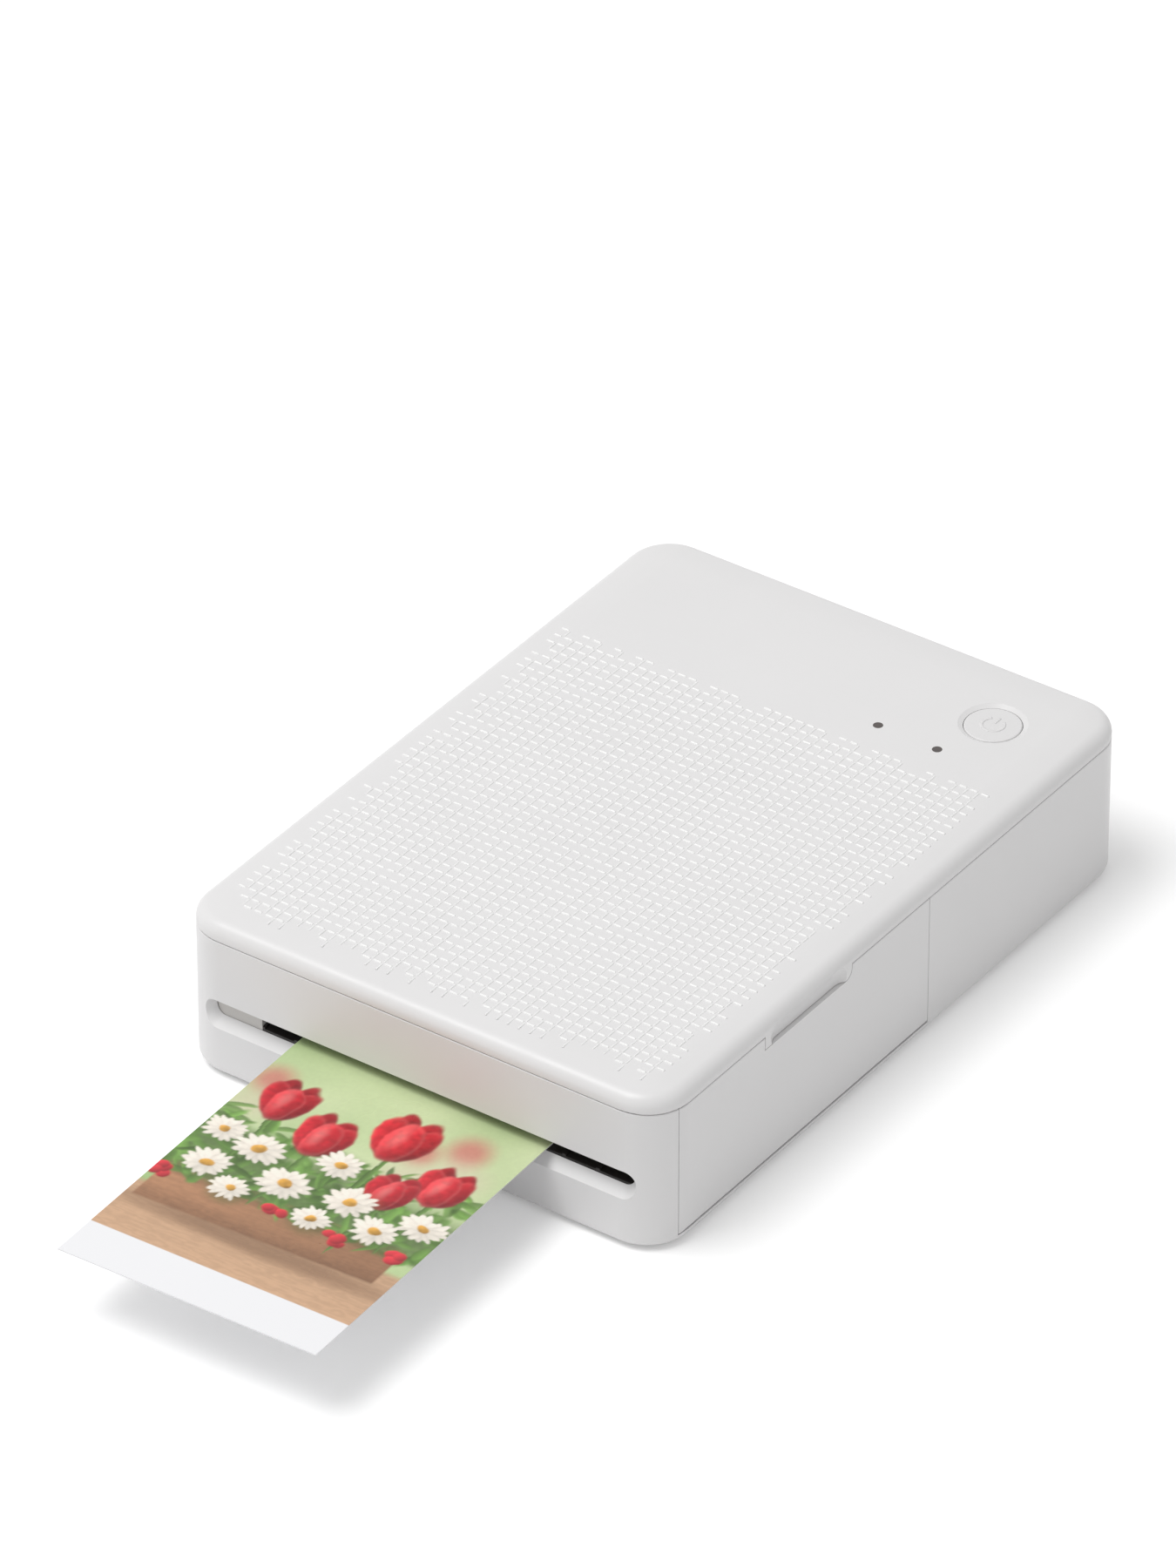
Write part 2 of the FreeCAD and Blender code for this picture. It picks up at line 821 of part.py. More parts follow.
def make_paper_cover():
    gap = seam_gap
    plate = block(bay_left + gap, bay_right - gap, bay_front + gap, cover_axis_y, foot_height, cover_inner)
    barrel = rod_x(bay_left + gap, bay_right - gap, cover_axis_y, cover_axis_z, cover_barrel_radius)
    ears = []
    for x0 in (lift_plate_left - ear_gap - ear_thickness, lift_plate_right + ear_gap):
        half = lift_pin_radius + ear_thickness * half_share
        front = lift_axis_y - half
        back = lift_axis_y + half
        ears.append(block(x0, x0 + ear_thickness, front, back, foot_height, lift_axis_z + half))
    cover = fused([plate, barrel] + ears)
    nail = Part.makeSphere(
        nail_radius,
        V(sheet_centre_x, bay_front + nail_depth, foot_height - nail_radius + nail_depth),
    )
    cover = cover.cut(nail)
    hole = lift_pin_radius + running_gap
    cover = cover.cut(
        rod_x(
            lift_plate_left - ear_gap - ear_thickness - overrun,
            lift_plate_right + ear_gap + ear_thickness + overrun,
            lift_axis_y,
            lift_axis_z,
            hole,
        )
    )
    for x0, x1 in (
        (bay_left - overrun, bay_left + hinge_pin_hold),
        (bay_right - hinge_pin_hold, bay_right + overrun),
    ):
        cover = cover.cut(rod_x(x0, x1, cover_axis_y, cover_axis_z, hinge_pin_radius + running_gap))
    return cover.removeSplitter()


# Four alike pins: two for the door, two for the paper cover
def make_hinge_pins():
    seat = hinge_pin_seat
    hold = hinge_pin_hold - slip_gap
    radius = hinge_pin_radius
    return [
        rod_y(door_front - seat, door_front + hold, door_axis_x, door_axis_z, radius),
        rod_y(door_back - hold, door_back + seat, door_axis_x, door_axis_z, radius),
        rod_x(bay_left - seat, bay_left + hold, cover_axis_y, cover_axis_z, radius),
        rod_x(bay_right - hold, bay_right + seat, cover_axis_y, cover_axis_z, radius),
    ]


def make_lift_plate():
    plate = block(
        lift_plate_left,
        lift_plate_right,
        stack_front + slip_gap,
        lift_axis_y,
        lift_plate_bottom,
        lift_plate_bottom + lift_plate_thickness,
    )
    reach = ear_gap + ear_thickness
    root = ear_thickness
    pins = [
        rod_x(lift_plate_left - reach, lift_plate_left + root, lift_axis_y, lift_axis_z, lift_pin_radius),
        rod_x(lift_plate_right - root, lift_plate_right + reach, lift_axis_y, lift_axis_z, lift_pin_radius),
    ]
    return fused([plate] + pins)


def coil_spring(x, y, z0, z1, radius, wire):
    run = z1 - z0 - 2 * wire
    helix = Part.makeLongHelix(run / spring_turns, run, radius)
    circle = Part.Wire([Part.makeCircle(wire, V(radius, 0, 0), V(0, 1, 0))])
    spring = Part.Wire(helix.Edges).makePipeShell([circle], True, True)
    spring.translate(V(x, y, z0 + wire))
    return spring


def make_lift_springs():
    return [
        coil_spring(x, spring_y, cover_inner, lift_plate_bottom, spring_radius, spring_wire)
        for x in spring_xs
    ]


# Paper: the stack in the bay and the print on its way out
stack_bottom = lift_plate_bottom + lift_plate_thickness
stack_top = stack_bottom + stack_count * sheet_thickness


def make_paper_stack():
    half = sheet_width * half_share
    return block(
        sheet_centre_x - half,
        sheet_centre_x + half,
        stack_front,
        stack_front + sheet_length,
        stack_bottom,
        stack_top,
    )


def make_photo_print():
    half = sheet_width * half_share
    middle = sheet_centre_x + sheet_shift
    sheet = block(middle - half, middle + half, sheet_front, sheet_back, path_height, path_top)
    sheet.rotate(V(middle, -half_depth, 0), V(0, 0, 1), sheet_skew)
    return sheet


# Chassis plates: flat steel sides with feet, shaft holes and, on the right, the cassette's way in
hole_margin = 0.9
window_margin = 0.9
window_top = 29.2
film_rise_step = 0.4
film_rise_y = head_strip_back + film_rise_step
film_line_gap = 0.6
bush_radius = shaft_radius + bush_wall


def bush_places():
    return ((feed_y, feed_z), (platen_y, platen_z), (exit_y, exit_z))


def film_slope():
    across = supply_y - film_rise_y
    up = spool_z - film_height - film_thickness
    reach = math.hypot(across, up)
    return math.atan2(up, across) + math.asin((supply_roll_radius + film_thickness) / reach)


def chassis_plate(x0, x1, outward):
    plate = block(x0, x1, plate_front, plate_back, floor_top, plate_top)
    tab_x0 = x0 - tab_reach if outward < 0 else x1
    for y in chassis_screw_ys:
        half = tab_width * half_share
        plate = plate.fuse(
            block(tab_x0, tab_x0 + tab_reach, y - half, y + half, floor_top, floor_top + tab_thickness)
        )
        screw_x = x0 - tab_screw_reach if outward < 0 else x1 + tab_screw_reach
        plate = plate.cut(
            rod_z(floor_top - overrun, floor_top + overrun, screw_x, y, screw_radius + screw_clearance)
        )
    for y, z in bush_places():
        plate = plate.cut(rod_x(x0 - overrun, x1 + overrun, y, z, bush_radius))
    running = thin_shaft_radius + running_gap
    for y, z in ((feed_y, pinch_z), (exit_y, exit_pinch_z)):
        plate = plate.cut(rod_x(x0 - overrun, x1 + overrun, y, z, running))
    pickup_z = stack_top + path_gap + pickup_radius
    plate = plate.cut(
        rod_x(x0 - overrun, x1 + overrun, pickup_y, pickup_z, shaft_radius + running_gap)
    )
    return plate


def cassette_window():
    x0 = plate_inner_right - overrun
    x1 = plate_outer_right + overrun
    radius = tube_radius + window_margin
    rise = math.tan(film_slope())
    reach = supply_y - tube_radius - film_rise_y
    low = path_height + running_gap
    valley = prism_x(
        [
            (takeup_y, window_top),
            (takeup_y, low),
            (film_rise_y, low),
            (film_rise_y + reach, low + reach * rise - film_line_gap),
            (supply_y, spool_z),
            (supply_y, window_top),
        ],
        x0,
        x1,
    )
    rings = [rod_x(x0, x1, y, spool_z, radius) for y in (supply_y, takeup_y)]
    roof = block(x0, x1, takeup_y - radius, supply_y + radius, window_top, plate_top + overrun)
    return valley.fuse(rings[0]).fuse(rings[1]).cut(roof)


def compound_centre():
    angle = math.radians(motor_to_compound_angle)
    reach = pitch_distance(pinion_teeth, large_teeth)
    return (motor_y - reach * math.cos(angle), motor_z - reach * math.sin(angle))


def idler_centre():
    start = compound_centre()
    first = pitch_distance(small_teeth, idler_teeth)
    second = pitch_distance(idler_teeth, feed_teeth)
    across = (feed_y - start[0], feed_z - start[1])
    span = math.hypot(across[0], across[1])
    along = (first * first - second * second + span * span) / (2 * span)
    aside = math.sqrt(first * first - along * along)
    unit = (across[0] / span, across[1] / span)
    return (
        start[0] + along * unit[0] + aside * unit[1],
        start[1] + along * unit[1] - aside * unit[0],
    )


def ribbon_motor_centre():
    angle = math.radians(ribbon_motor_angle)
    reach = pitch_distance(hub_teeth, ribbon_pinion_teeth)
    return (takeup_y - reach * math.cos(angle), spool_z + reach * math.sin(angle))


stud_radius = 1.2
hub_shaft_radius = 1.6


def make_left_chassis():
    x0 = plate_outer_left
    x1 = plate_inner_left
    plate = chassis_plate(x0, x1, -1)
    plate = plate.fuse(block(x0, x1, horn_front, plate_front, horn_bottom, horn_top))
    holes = [
        (compound_centre(), stud_radius),
        (idler_centre(), stud_radius),
        ((head_pivot_y, head_pivot_z), thin_shaft_radius),
        ((takeup_y, spool_z), hub_shaft_radius + running_gap),
        ((motor_y, motor_z), motor_shaft_radius + hole_margin),
        (ribbon_motor_centre(), motor_shaft_radius + hole_margin),
        ((supply_y, spool_z), stud_radius),
    ]
    for (y, z), radius in holes:
        plate = plate.cut(rod_x(x0 - overrun, x1 + overrun, y, z, radius))
    return plate.removeSplitter()


def make_right_chassis():
    plate = chassis_plate(plate_inner_right, plate_outer_right, 1)
    return plate.cut(cassette_window()).removeSplitter()


def make_chassis_bridge():
    x0 = plate_inner_left
    x1 = plate_inner_right
    roof = block(x0, x1, bridge_front, bridge_back, bridge_bottom, bridge_bottom + bridge_thickness)
    ear = rod_x(x1 - ear_width, x1, head_pivot_y, head_pivot_z, ear_radius)
    hanger = block(
        x1 - ear_width,
        x1,
        head_pivot_y - ear_radius,
        head_pivot_y + ear_radius,
        head_pivot_z,
        bridge_bottom,
    )
    bridge = fused([roof, ear, hanger])
    return bridge.cut(rod_x(x1 - overrun, x1 + overrun, head_pivot_y, head_pivot_z, thin_shaft_radius))


def make_chassis_screws():
    screws = []
    for x in (plate_outer_left - tab_screw_reach, plate_outer_right + tab_screw_reach):
        for y in chassis_screw_ys:
            seat = floor_top + tab_thickness
            head = rod_z(seat, seat + screw_head_height, x, y, screw_head_radius)
            shank = rod_z(floor_top - tab_thickness + slip_gap, seat, x, y, screw_radius)
            socket = rod_z(seat + screw_head_height * half_share, seat + overrun, x, y, screw_radius)
            screws.append(fused([head, shank]).cut(socket))
    return screws


# Throat behind the slot: lip, roller channel and the ramp up from the bay
lip_drop = 0.5
channel_drop = 5.9
channel_thickness = 0.9
lip_front_gap = 0.1
ramp_drop = 5.5
ramp_thickness = 1.2
throat_block_width = 11.4
throat_block_rise = 3.6
lip_plate_gap = 0.4
rib_width = 0.8
rib_rise = 0.35
rib_spacing = 7.1
rib_offset = 0.32
rib_count = 11
ramp_rib_count = 5
lip_rise = path_height - lip_drop
channel_floor = path_height - channel_drop
ramp_foot = path_height - ramp_drop
throat_block_right = slot_left + throat_block_width
throat_block_top = path_height + throat_block_rise
lip_back = plate_front - lip_plate_gap


def make_exit_guide():
    front = -inner_y + lip_front_gap
    ramp_start = exit_y + exit_radius + slip_gap
    web_back = ramp_start + ramp_thickness
    low = channel_floor - channel_thickness
    drop = (lip_rise - ramp_foot) / (bay_front - ramp_start) * ramp_thickness
    profile = [
        (front, low),
        (web_back, low),
        (web_back, lip_rise - ramp_thickness - drop),
        (bay_front, ramp_foot - ramp_thickness),
        (bay_front, ramp_foot),
        (ramp_start, lip_rise),
        (ramp_start, channel_floor),
        (lip_back, channel_floor),
        (lip_back, lip_rise),
        (front, lip_rise - ramp_thickness * half_share),
    ]
    body = prism_x(profile, plate_inner_left, plate_inner_right)
    gusset = [
        (web_back - drop, low),
        (web_back - drop, lip_rise - ramp_thickness),
        (bay_front, ramp_foot - ramp_thickness * half_share),
        (bay_front, low),
    ]
    spacing = (path_width - rib_width) / (ramp_rib_count - 1)
    gussets = []
    for index in range(ramp_rib_count):
        x = plate_inner_left + index * spacing
        gussets.append(prism_x(gusset, x, x + rib_width))
    lip = prism_x(
        [
            (front, low),
            (lip_back, low),
            (lip_back, lip_rise),
            (front, lip_rise - ramp_thickness * half_share),
        ],
        slot_left,
        slot_right,
    )
    cheek = block(slot_left, throat_block_right, front, lip_back, low, throat_block_top)
    first = sheet_centre_x - rib_offset - rib_width - rib_spacing * (rib_count - 1) * half_share
    ribs = []
    for index in range(rib_count):
        x = first + index * rib_spacing
        ribs.append(
            prism_x(
                [
                    (front, lip_rise - ramp_thickness),
                    (lip_back, lip_rise - ramp_thickness),
                    (lip_back, lip_rise + rib_rise),
                    (front, lip_rise - ramp_thickness * half_share + rib_rise),
                ],
                x,
                x + rib_width,
            )
        )
    guide = fused([body, lip, cheek] + ribs + gussets)
    return guide.common(case_block(wall + lip_front_gap, floor_top, total_height)).removeSplitter()


def make_lower_guide():
    front = feed_y + feed_radius + slip_gap
    back = frame_front + sheet_length * half_share
    top = path_height - slip_gap
    return block(
        plate_inner_left,
        plate_inner_right,
        front,
        min(back, pickup_y - pickup_radius - slip_gap),
        top - ramp_thickness,
        top,
    )


# Rollers and shafts
journal_gap = 0.4
tyre_width = 9.0
tyre_places_shares = (-0.32, 0.0, 0.32)
pickup_tyre_width = 8.0
pickup_tyre_places_shares = (-0.18, 0.18)


def make_feed_roller():
    left = belt_layer_left
    body = rod_x(roller_left, roller_right, feed_y, feed_z, feed_radius)
    journal = rod_x(inner_layer_left, plate_outer_right + journal_gap, feed_y, feed_z, shaft_radius)
    neck = rod_x(left, inner_layer_left, feed_y, feed_z, thin_shaft_radius)
    return fused([body, journal, neck])


def make_pinch_roller():
    body = rod_x(roller_left, roller_right, feed_y, pinch_z, pinch_radius)
    left = plate_outer_left - journal_gap
    right = plate_outer_right + journal_gap
    return fused([body, rod_x(left, right, feed_y, pinch_z, thin_shaft_radius)])


def make_platen_shaft():
    left = plate_outer_left - journal_gap
    right = plate_outer_right + journal_gap
    return rod_x(left, right, platen_y, platen_z, shaft_radius)


def make_platen_sleeve():
    sleeve = rod_x(roller_left, roller_right, platen_y, platen_z, platen_radius)
    return with_bore(sleeve, roller_left, roller_right, platen_y, platen_z, shaft_radius)


def tyre_row(y, z, radius, bore, width, shares):
    tyres = []
    for share in shares:
        middle = sheet_centre_x + path_width * share
        tyre = rod_x(middle - width * half_share, middle + width * half_share, y, z, radius)
        tyres.append(with_bore(tyre, middle - width, middle + width, y, z, bore))
    return tyres


def make_exit_shaft():
    journal = rod_x(inner_layer_left, plate_outer_right + journal_gap, exit_y, exit_z, shaft_radius)
    neck = rod_x(belt_layer_left, inner_layer_left, exit_y, exit_z, thin_shaft_radius)
    return fused([journal, neck])


def make_exit_tyres():
    return tyre_row(exit_y, exit_z, exit_radius, shaft_radius, tyre_width, tyre_places_shares)


def make_exit_pinch():
    axle = rod_x(
        plate_outer_left - journal_gap,
        plate_outer_right + journal_gap,
        exit_y,
        exit_pinch_z,
        thin_shaft_radius,
    )
    wheels = [
        rod_x(
            sheet_centre_x + path_width * share - tyre_width * half_share,
            sheet_centre_x + path_width * share + tyre_width * half_share,
            exit_y,
            exit_pinch_z,
            exit_pinch_radius,
        )
        for share in tyre_places_shares
    ]
    return fused([axle] + wheels)


def pickup_height():
    return stack_top + path_gap + pickup_radius


def make_pickup_shaft():
    return rod_x(
        plate_outer_left - journal_gap,
        plate_outer_right + journal_gap,
        pickup_y,
        pickup_height(),
        shaft_radius,
    )


def make_pickup_tyres():
    return tyre_row(
        pickup_y,
        pickup_height(),
        pickup_radius,
        shaft_radius,
        pickup_tyre_width,
        pickup_tyre_places_shares,
    )


def make_bushes():
    bushes = []
    for y, z in bush_places():
        for x0 in (plate_outer_left, plate_inner_right):
            ring = rod_x(x0, x0 + plate_thickness, y, z, bush_radius)
            bushes.append(with_bore(ring, x0, x0 + plate_thickness, y, z, shaft_radius + running_gap))
    return bushes


# Gear train from the feed motor to the feed roller, and the belt on to the exit roller
pulley_radius = 2.7
pulley_lip = 0.6
pulley_lip_width = 0.3
belt_thickness = 0.5
stud_head_radius = 2.2
stud_head = 0.3
train_start = 0.0


def train_starts():
    feed = (feed_y, feed_z)
    idler = idler_centre()
    compound = compound_centre()
    motor = (motor_y, motor_z)
    idler_start = meshed_start(feed, feed_teeth, train_start, idler, idler_teeth)
    small_start = meshed_start(idler, idler_teeth, idler_start, compound, small_teeth)
    pinion_start = meshed_start(compound, large_teeth, small_start, motor, pinion_teeth)
    return idler_start, small_start, pinion_start


def make_feed_gear():
    x0 = inner_layer_left
    x1 = inner_layer_right
    gear = gear_blank(feed_teeth, x0, x1, feed_y, feed_z, train_start)
    return with_bore(gear, x0, x1, feed_y, feed_z, shaft_radius)


def make_idler_gear():
    x0 = inner_layer_left
    x1 = inner_layer_right
    y, z = idler_centre()
    gear = gear_blank(idler_teeth, x0, x1, y, z, train_starts()[0])
    return with_bore(gear, x0, x1, y, z, stud_radius + running_gap)


def make_compound_gear():
    y, z = compound_centre()
    start = train_starts()[1]
    small = gear_blank(small_teeth, inner_layer_left - layer_gap, inner_layer_right, y, z, start)
    large = gear_blank(large_teeth, outer_layer_left, outer_layer_right, y, z, start)
    bore = stud_radius + running_gap
    return with_bore(fused([small, large]), outer_layer_left, inner_layer_right, y, z, bore)


def make_gear_studs():
    studs = []
    for (y, z), left in ((idler_centre(), inner_layer_left), (compound_centre(), outer_layer_left)):
        tip = left - running_gap
        shank = rod_x(tip, plate_inner_left, y, z, stud_radius)
        head = rod_x(tip - stud_head, tip, y, z, stud_head_radius)
        studs.append(fused([shank, head]))
    return studs


def make_motor_pinion():
    y = motor_y
    z = motor_z
    gear = gear_blank(pinion_teeth, outer_layer_left, outer_layer_right, y, z, train_starts()[2])
    shaft = rod_x(outer_layer_left, plate_inner_left - running_gap, y, z, motor_shaft_radius)
    return fused([gear, shaft])


def motor_can(y, z, radius, length):
    can = rod_x(plate_inner_left, plate_inner_left + length, y, z, radius)
    waist = length * half_share
    groove = rod_x(plate_inner_left + waist, plate_inner_left + waist + bush_wall, y, z, radius)
    core = rod_x(plate_inner_left, plate_inner_left + length, y, z, radius - slip_gap)
    cap = rod_x(
        plate_inner_left + length,
        plate_inner_left + length + bush_wall,
        y,
        z,
        radius * half_share,
    )
    return fused([can.cut(groove), core, cap])


def make_feed_motor():
    return motor_can(motor_y, motor_z, motor_radius, motor_length)


def pulley(y, z, radius):
    x0 = belt_layer_left
    x1 = belt_layer_right
    drum = rod_x(x0, x1, y, z, radius)
    lips = [
        rod_x(x0, x0 + pulley_lip_width, y, z, radius + pulley_lip),
        rod_x(x1 - pulley_lip_width, x1, y, z, radius + pulley_lip),
    ]
    return with_bore(fused([drum] + lips), x0, x1, y, z, thin_shaft_radius)


def make_feed_pulley():
    return pulley(feed_y, feed_z, pulley_radius)


def exit_pulley_radius():
    return pulley_radius * exit_radius / feed_radius


def make_exit_pulley():
    return pulley(exit_y, exit_z, exit_pulley_radius())


def belt_loop(x0, x1, grow):
    wheels = (
        (exit_y, exit_z, exit_pulley_radius() + grow),
        (feed_y, feed_z, pulley_radius + grow),
    )
    (ya, za, ra), (yb, zb, rb) = wheels
    span = math.hypot(yb - ya, zb - za)
    line = math.atan2(zb - za, yb - ya)
    lean = math.acos((ra - rb) / span)
    corners = []
    for y, z, radius, turn in (
        (ya, za, ra, line + lean),
        (ya, za, ra, line - lean),
        (yb, zb, rb, line - lean),
        (yb, zb, rb, line + lean),
    ):
        corners.append((y + radius * math.cos(turn), z + radius * math.sin(turn)))
    web = prism_x(corners, x0, x1)
    return fused([web, rod_x(x0, x1, ya, za, ra), rod_x(x0, x1, yb, zb, rb)])


def make_drive_belt():
    x0 = belt_layer_left + pulley_lip_width + running_gap
    x1 = belt_layer_right - pulley_lip_width - running_gap
    outer = belt_loop(x0, x1, belt_thickness + running_gap)
    inner = belt_loop(x0 - overrun, x1 + overrun, running_gap)
    return outer.cut(inner)


# Thermal head on its pivoting bracket
sink_top = 26.5
sink_front_reach = 9.7
sink_front_low = 18.0
sink_knee_reach = 7.8
sink_knee_rise = 18.9
sink_back_reach = 10.3
sink_back_rise = 20.8
sink_groove_width = 1.4
sink_groove_depth = 3.5
sink_groove_spacing = 3.4
sink_groove_count = 5
arm_width = 1.0
arm_radius = 2.2
arm_bottom = 25.0
head_spring_radius = 2.0
head_spring_wire = 0.15
head_spring_spacing = 40.0
head_spring_offset = 0.2
strip_side_gap = 4.0
head_side_gap = 2.6
sink_front = platen_y - sink_front_reach
sink_knee = platen_y + sink_knee_reach
sink_back = platen_y + sink_back_reach
head_spring_y = platen_y - head_spring_offset
strip_left = plate_inner_left + strip_side_gap
strip_right = plate_inner_right - strip_side_gap
head_left = plate_inner_left + head_side_gap
head_right = plate_inner_right - head_side_gap


def head_bottom():
    return film_height + film_thickness + head_gap


def make_thermal_head():
    low = head_bottom()
    return block(
        strip_left,
        strip_right,
        head_strip_front,
        head_strip_back,
        low,
        low + head_strip_thickness,
    )


def make_heat_sink():
    low = head_bottom() + head_strip_thickness
    profile = [
        (sink_front, sink_top),
        (sink_front, sink_front_low),
        (head_strip_front, low),
        (head_strip_back, low),
        (sink_knee, sink_knee_rise),
        (sink_back, sink_back_rise),
        (sink_back, sink_top),
    ]
    sink = prism_x(profile, strip_left, strip_right)
    middle = (sink_front + sink_back) * half_share
    first = middle - sink_groove_spacing * (sink_groove_count - 1) * half_share
    for index in range(sink_groove_count):
        y = first + index * sink_groove_spacing
        half = sink_groove_width * half_share
        sink = sink.cut(
            block(
                strip_left - overrun,
                strip_right + overrun,
                y - half,
                y + half,
                sink_top - sink_groove_depth,
                sink_top + overrun,
            )
        )
    return sink


def make_head_bracket():
    plate = block(head_left, head_right, sink_front, sink_back, sink_top, bracket_top)
    parts = [plate]
    for x0 in (head_left, head_right - arm_width):
        x1 = x0 + arm_width
        parts.append(rod_x(x0, x1, head_pivot_y, head_pivot_z, arm_radius))
        parts.append(block(x0, x1, head_pivot_y, sink_front + arm_radius, arm_bottom, bracket_top))
    bracket = fused(parts)
    hole = thin_shaft_radius + running_gap
    return bracket.cut(rod_x(head_left - overrun, head_right + overrun, head_pivot_y, head_pivot_z, hole))


def make_head_pivot():
    return rod_x(plate_outer_left, plate_inner_right, head_pivot_y, head_pivot_z, thin_shaft_radius)


def make_head_springs():
    reach = head_spring_spacing * half_share
    return [
        coil_spring(x, head_spring_y, bracket_top, bridge_bottom, head_spring_radius, head_spring_wire)
        for x in (sheet_centre_x - reach, sheet_centre_x + reach)
    ]


# Ribbon cassette: tubes, end plate, film, cores and rolls
tube_end_gap = 0.4
core_end_gap = 0.3
core_far_gap = 0.2
tube_left = plate_inner_left + tube_end_gap
tube_right = plate_outer_right + tube_end_gap
core_left = tube_left + core_end_gap
core_right = tube_right - core_far_gap
roll_left = sheet_centre_x - film_width * half_share
roll_right = sheet_centre_x + film_width * half_share
trunnion_radius = 1.8
trunnion_reach = 1.6
film_slot_half = 1.3
grip_width = 22.0
grip_height = 6.0
grip_depth = 1.2


def film_points():
    low = film_height
    rise = film_slope()
    radius = supply_roll_radius + film_thickness
    run = math.sqrt(
        (supply_y - film_rise_y) ** 2 + (spool_z - low - film_thickness) ** 2 - radius * radius
    )
    supply_end = (film_rise_y + run * math.cos(rise), low + film_thickness + run * math.sin(rise))
    across = takeup_y - head_strip_front
    up = spool_z - low
    reach = math.hypot(across, up)
    inner = takeup_roll_radius + film_thickness
    fall = math.atan2(up, across) + math.asin(inner / reach)
    length = math.sqrt(reach * reach - inner * inner)
    takeup_end = (head_strip_front + length * math.cos(fall), low + length * math.sin(fall))
    return takeup_end, (head_strip_front, low), (film_rise_y, low), supply_end


def thick_line(points, thickness):
    sides = []
    for side in (-1, 1):
        line = []
        count = len(points)
        for index in range(count):
            before = points[max(index - 1, 0)]
            after = points[min(index + 1, count - 1)]
            here = points[index]
            normals = []
            for first, second in ((before, here), (here, after)):
                length = math.hypot(second[0] - first[0], second[1] - first[1])
                if length > 0:
                    normals.append((-(second[1] - first[1]) / length, (second[0] - first[0]) / length))
            ny = sum(n[0] for n in normals) / len(normals)
            nz = sum(n[1] for n in normals) / len(normals)
            size = ny * ny + nz * nz
            push = side * thickness * half_share
            line.append((here[0] + push * ny / size, here[1] + push * nz / size))
        sides.append(line)
    return sides[0] + sides[1][::-1]


def make_ribbon_film():
    points = [(y, z + film_thickness * half_share) for y, z in film_points()]
    return prism_x(thick_line(points, film_thickness), roll_left, roll_right)


def tube(y):
    outer = rod_x(tube_left, tube_right, y, spool_z, tube_radius)
    inner = rod_x(tube_left + tube_wall, tube_right, y, spool_z, tube_radius - tube_wall)
    return outer.cut(inner)


def make_cassette_shell():
    x0 = tube_right
    x1 = x0 + cassette_end_thickness
    ends = [rod_x(x0, x1, y, spool_z, tube_radius) for y in (takeup_y, supply_y)]
    middle = block(
        x0,
        x1,
        takeup_y,
        supply_y,
        spool_z - tube_radius,
        spool_z + tube_radius,
    )
    plate = fused(ends + [middle])
    under_tab = block(
        x0 - overrun,
        x1 + overrun,
        notch_front - overrun,
        notch_back + wall,
        notch_bottom - slip_gap,
        total_height,
    )
    plate = plate.cut(under_tab)
    grip_y = (takeup_y + supply_y) * half_share
    grip = block(
        x1 - grip_depth,
        x1 + overrun,
        grip_y - grip_width * half_share,
        grip_y + grip_width * half_share,
        spool_z - grip_height * half_share,
        spool_z + grip_height * half_share,
    )
    shell = fused([plate.cut(grip), tube(takeup_y), tube(supply_y)])
    takeup_end, low_front, low_back, supply_end = film_points()
    for centre_y, near, far in (
        (takeup_y, takeup_end, low_front),
        (supply_y, supply_end, low_back),
    ):
        way = (far[0] - near[0], far[1] - near[1])
        length = math.hypot(way[0], way[1])
        unit = (way[0] / length, way[1] / length)
        reach = 2 * tube_radius
        end = (near[0] + unit[0] * reach, near[1] + unit[1] * reach)
        side = (-unit[1] * film_slot_half, unit[0] * film_slot_half)
        slot = prism_x(
            [
                (near[0] + side[0], near[1] + side[1]),
                (end[0] + side[0], end[1] + side[1]),
                (end[0] - side[0], end[1] - side[1]),
                (near[0] - side[0], near[1] - side[1]),
            ],
            roll_left - slip_gap,
            roll_right + slip_gap,
        )
        shell = shell.cut(slot)
    for y in (takeup_y, supply_y):
        shell = shell.cut(
            rod_x(
                tube_left - overrun,
                tube_left + overrun,
                y,
                spool_z,
                core_radius + running_gap,
            )
        )
        shell = shell.cut(
            rod_x(x0 - overrun, x0 + trunnion_reach, y, spool_z, trunnion_radius + running_gap)
        )
    return shell.removeSplitter()


def spool_core(y):
    core = rod_x(core_left, core_right, y, spool_z, core_radius)
    trunnion_end = core_right + trunnion_reach - slip_gap + running_gap
    trunnion = rod_x(core_right, trunnion_end, y, spool_z, trunnion_radius)
    bore = rod_x(core_left - overrun, core_left + 2 * overrun, y, spool_z, core_bore)
    key = block(
        core_left - overrun,
        core_left + 2 * overrun,
        y - core_key_reach,
        y + core_key_reach,
        spool_z - core_key_width * half_share,
        spool_z + core_key_width * half_share,
    )
    return fused([core, trunnion]).cut(bore).cut(key)


def wound_roll(y, radius):
    roll = rod_x(roll_left, roll_right, y, spool_z, radius)
    return with_bore(roll, roll_left, roll_right, y, spool_z, core_radius)


# Hub that turns the take-up core, its motor, and the spindle that carries the supply core
nose_radius = 2.2
nose_reach = 4.0
nose_key_gap = 0.15
hub_flange_gap = 0.1


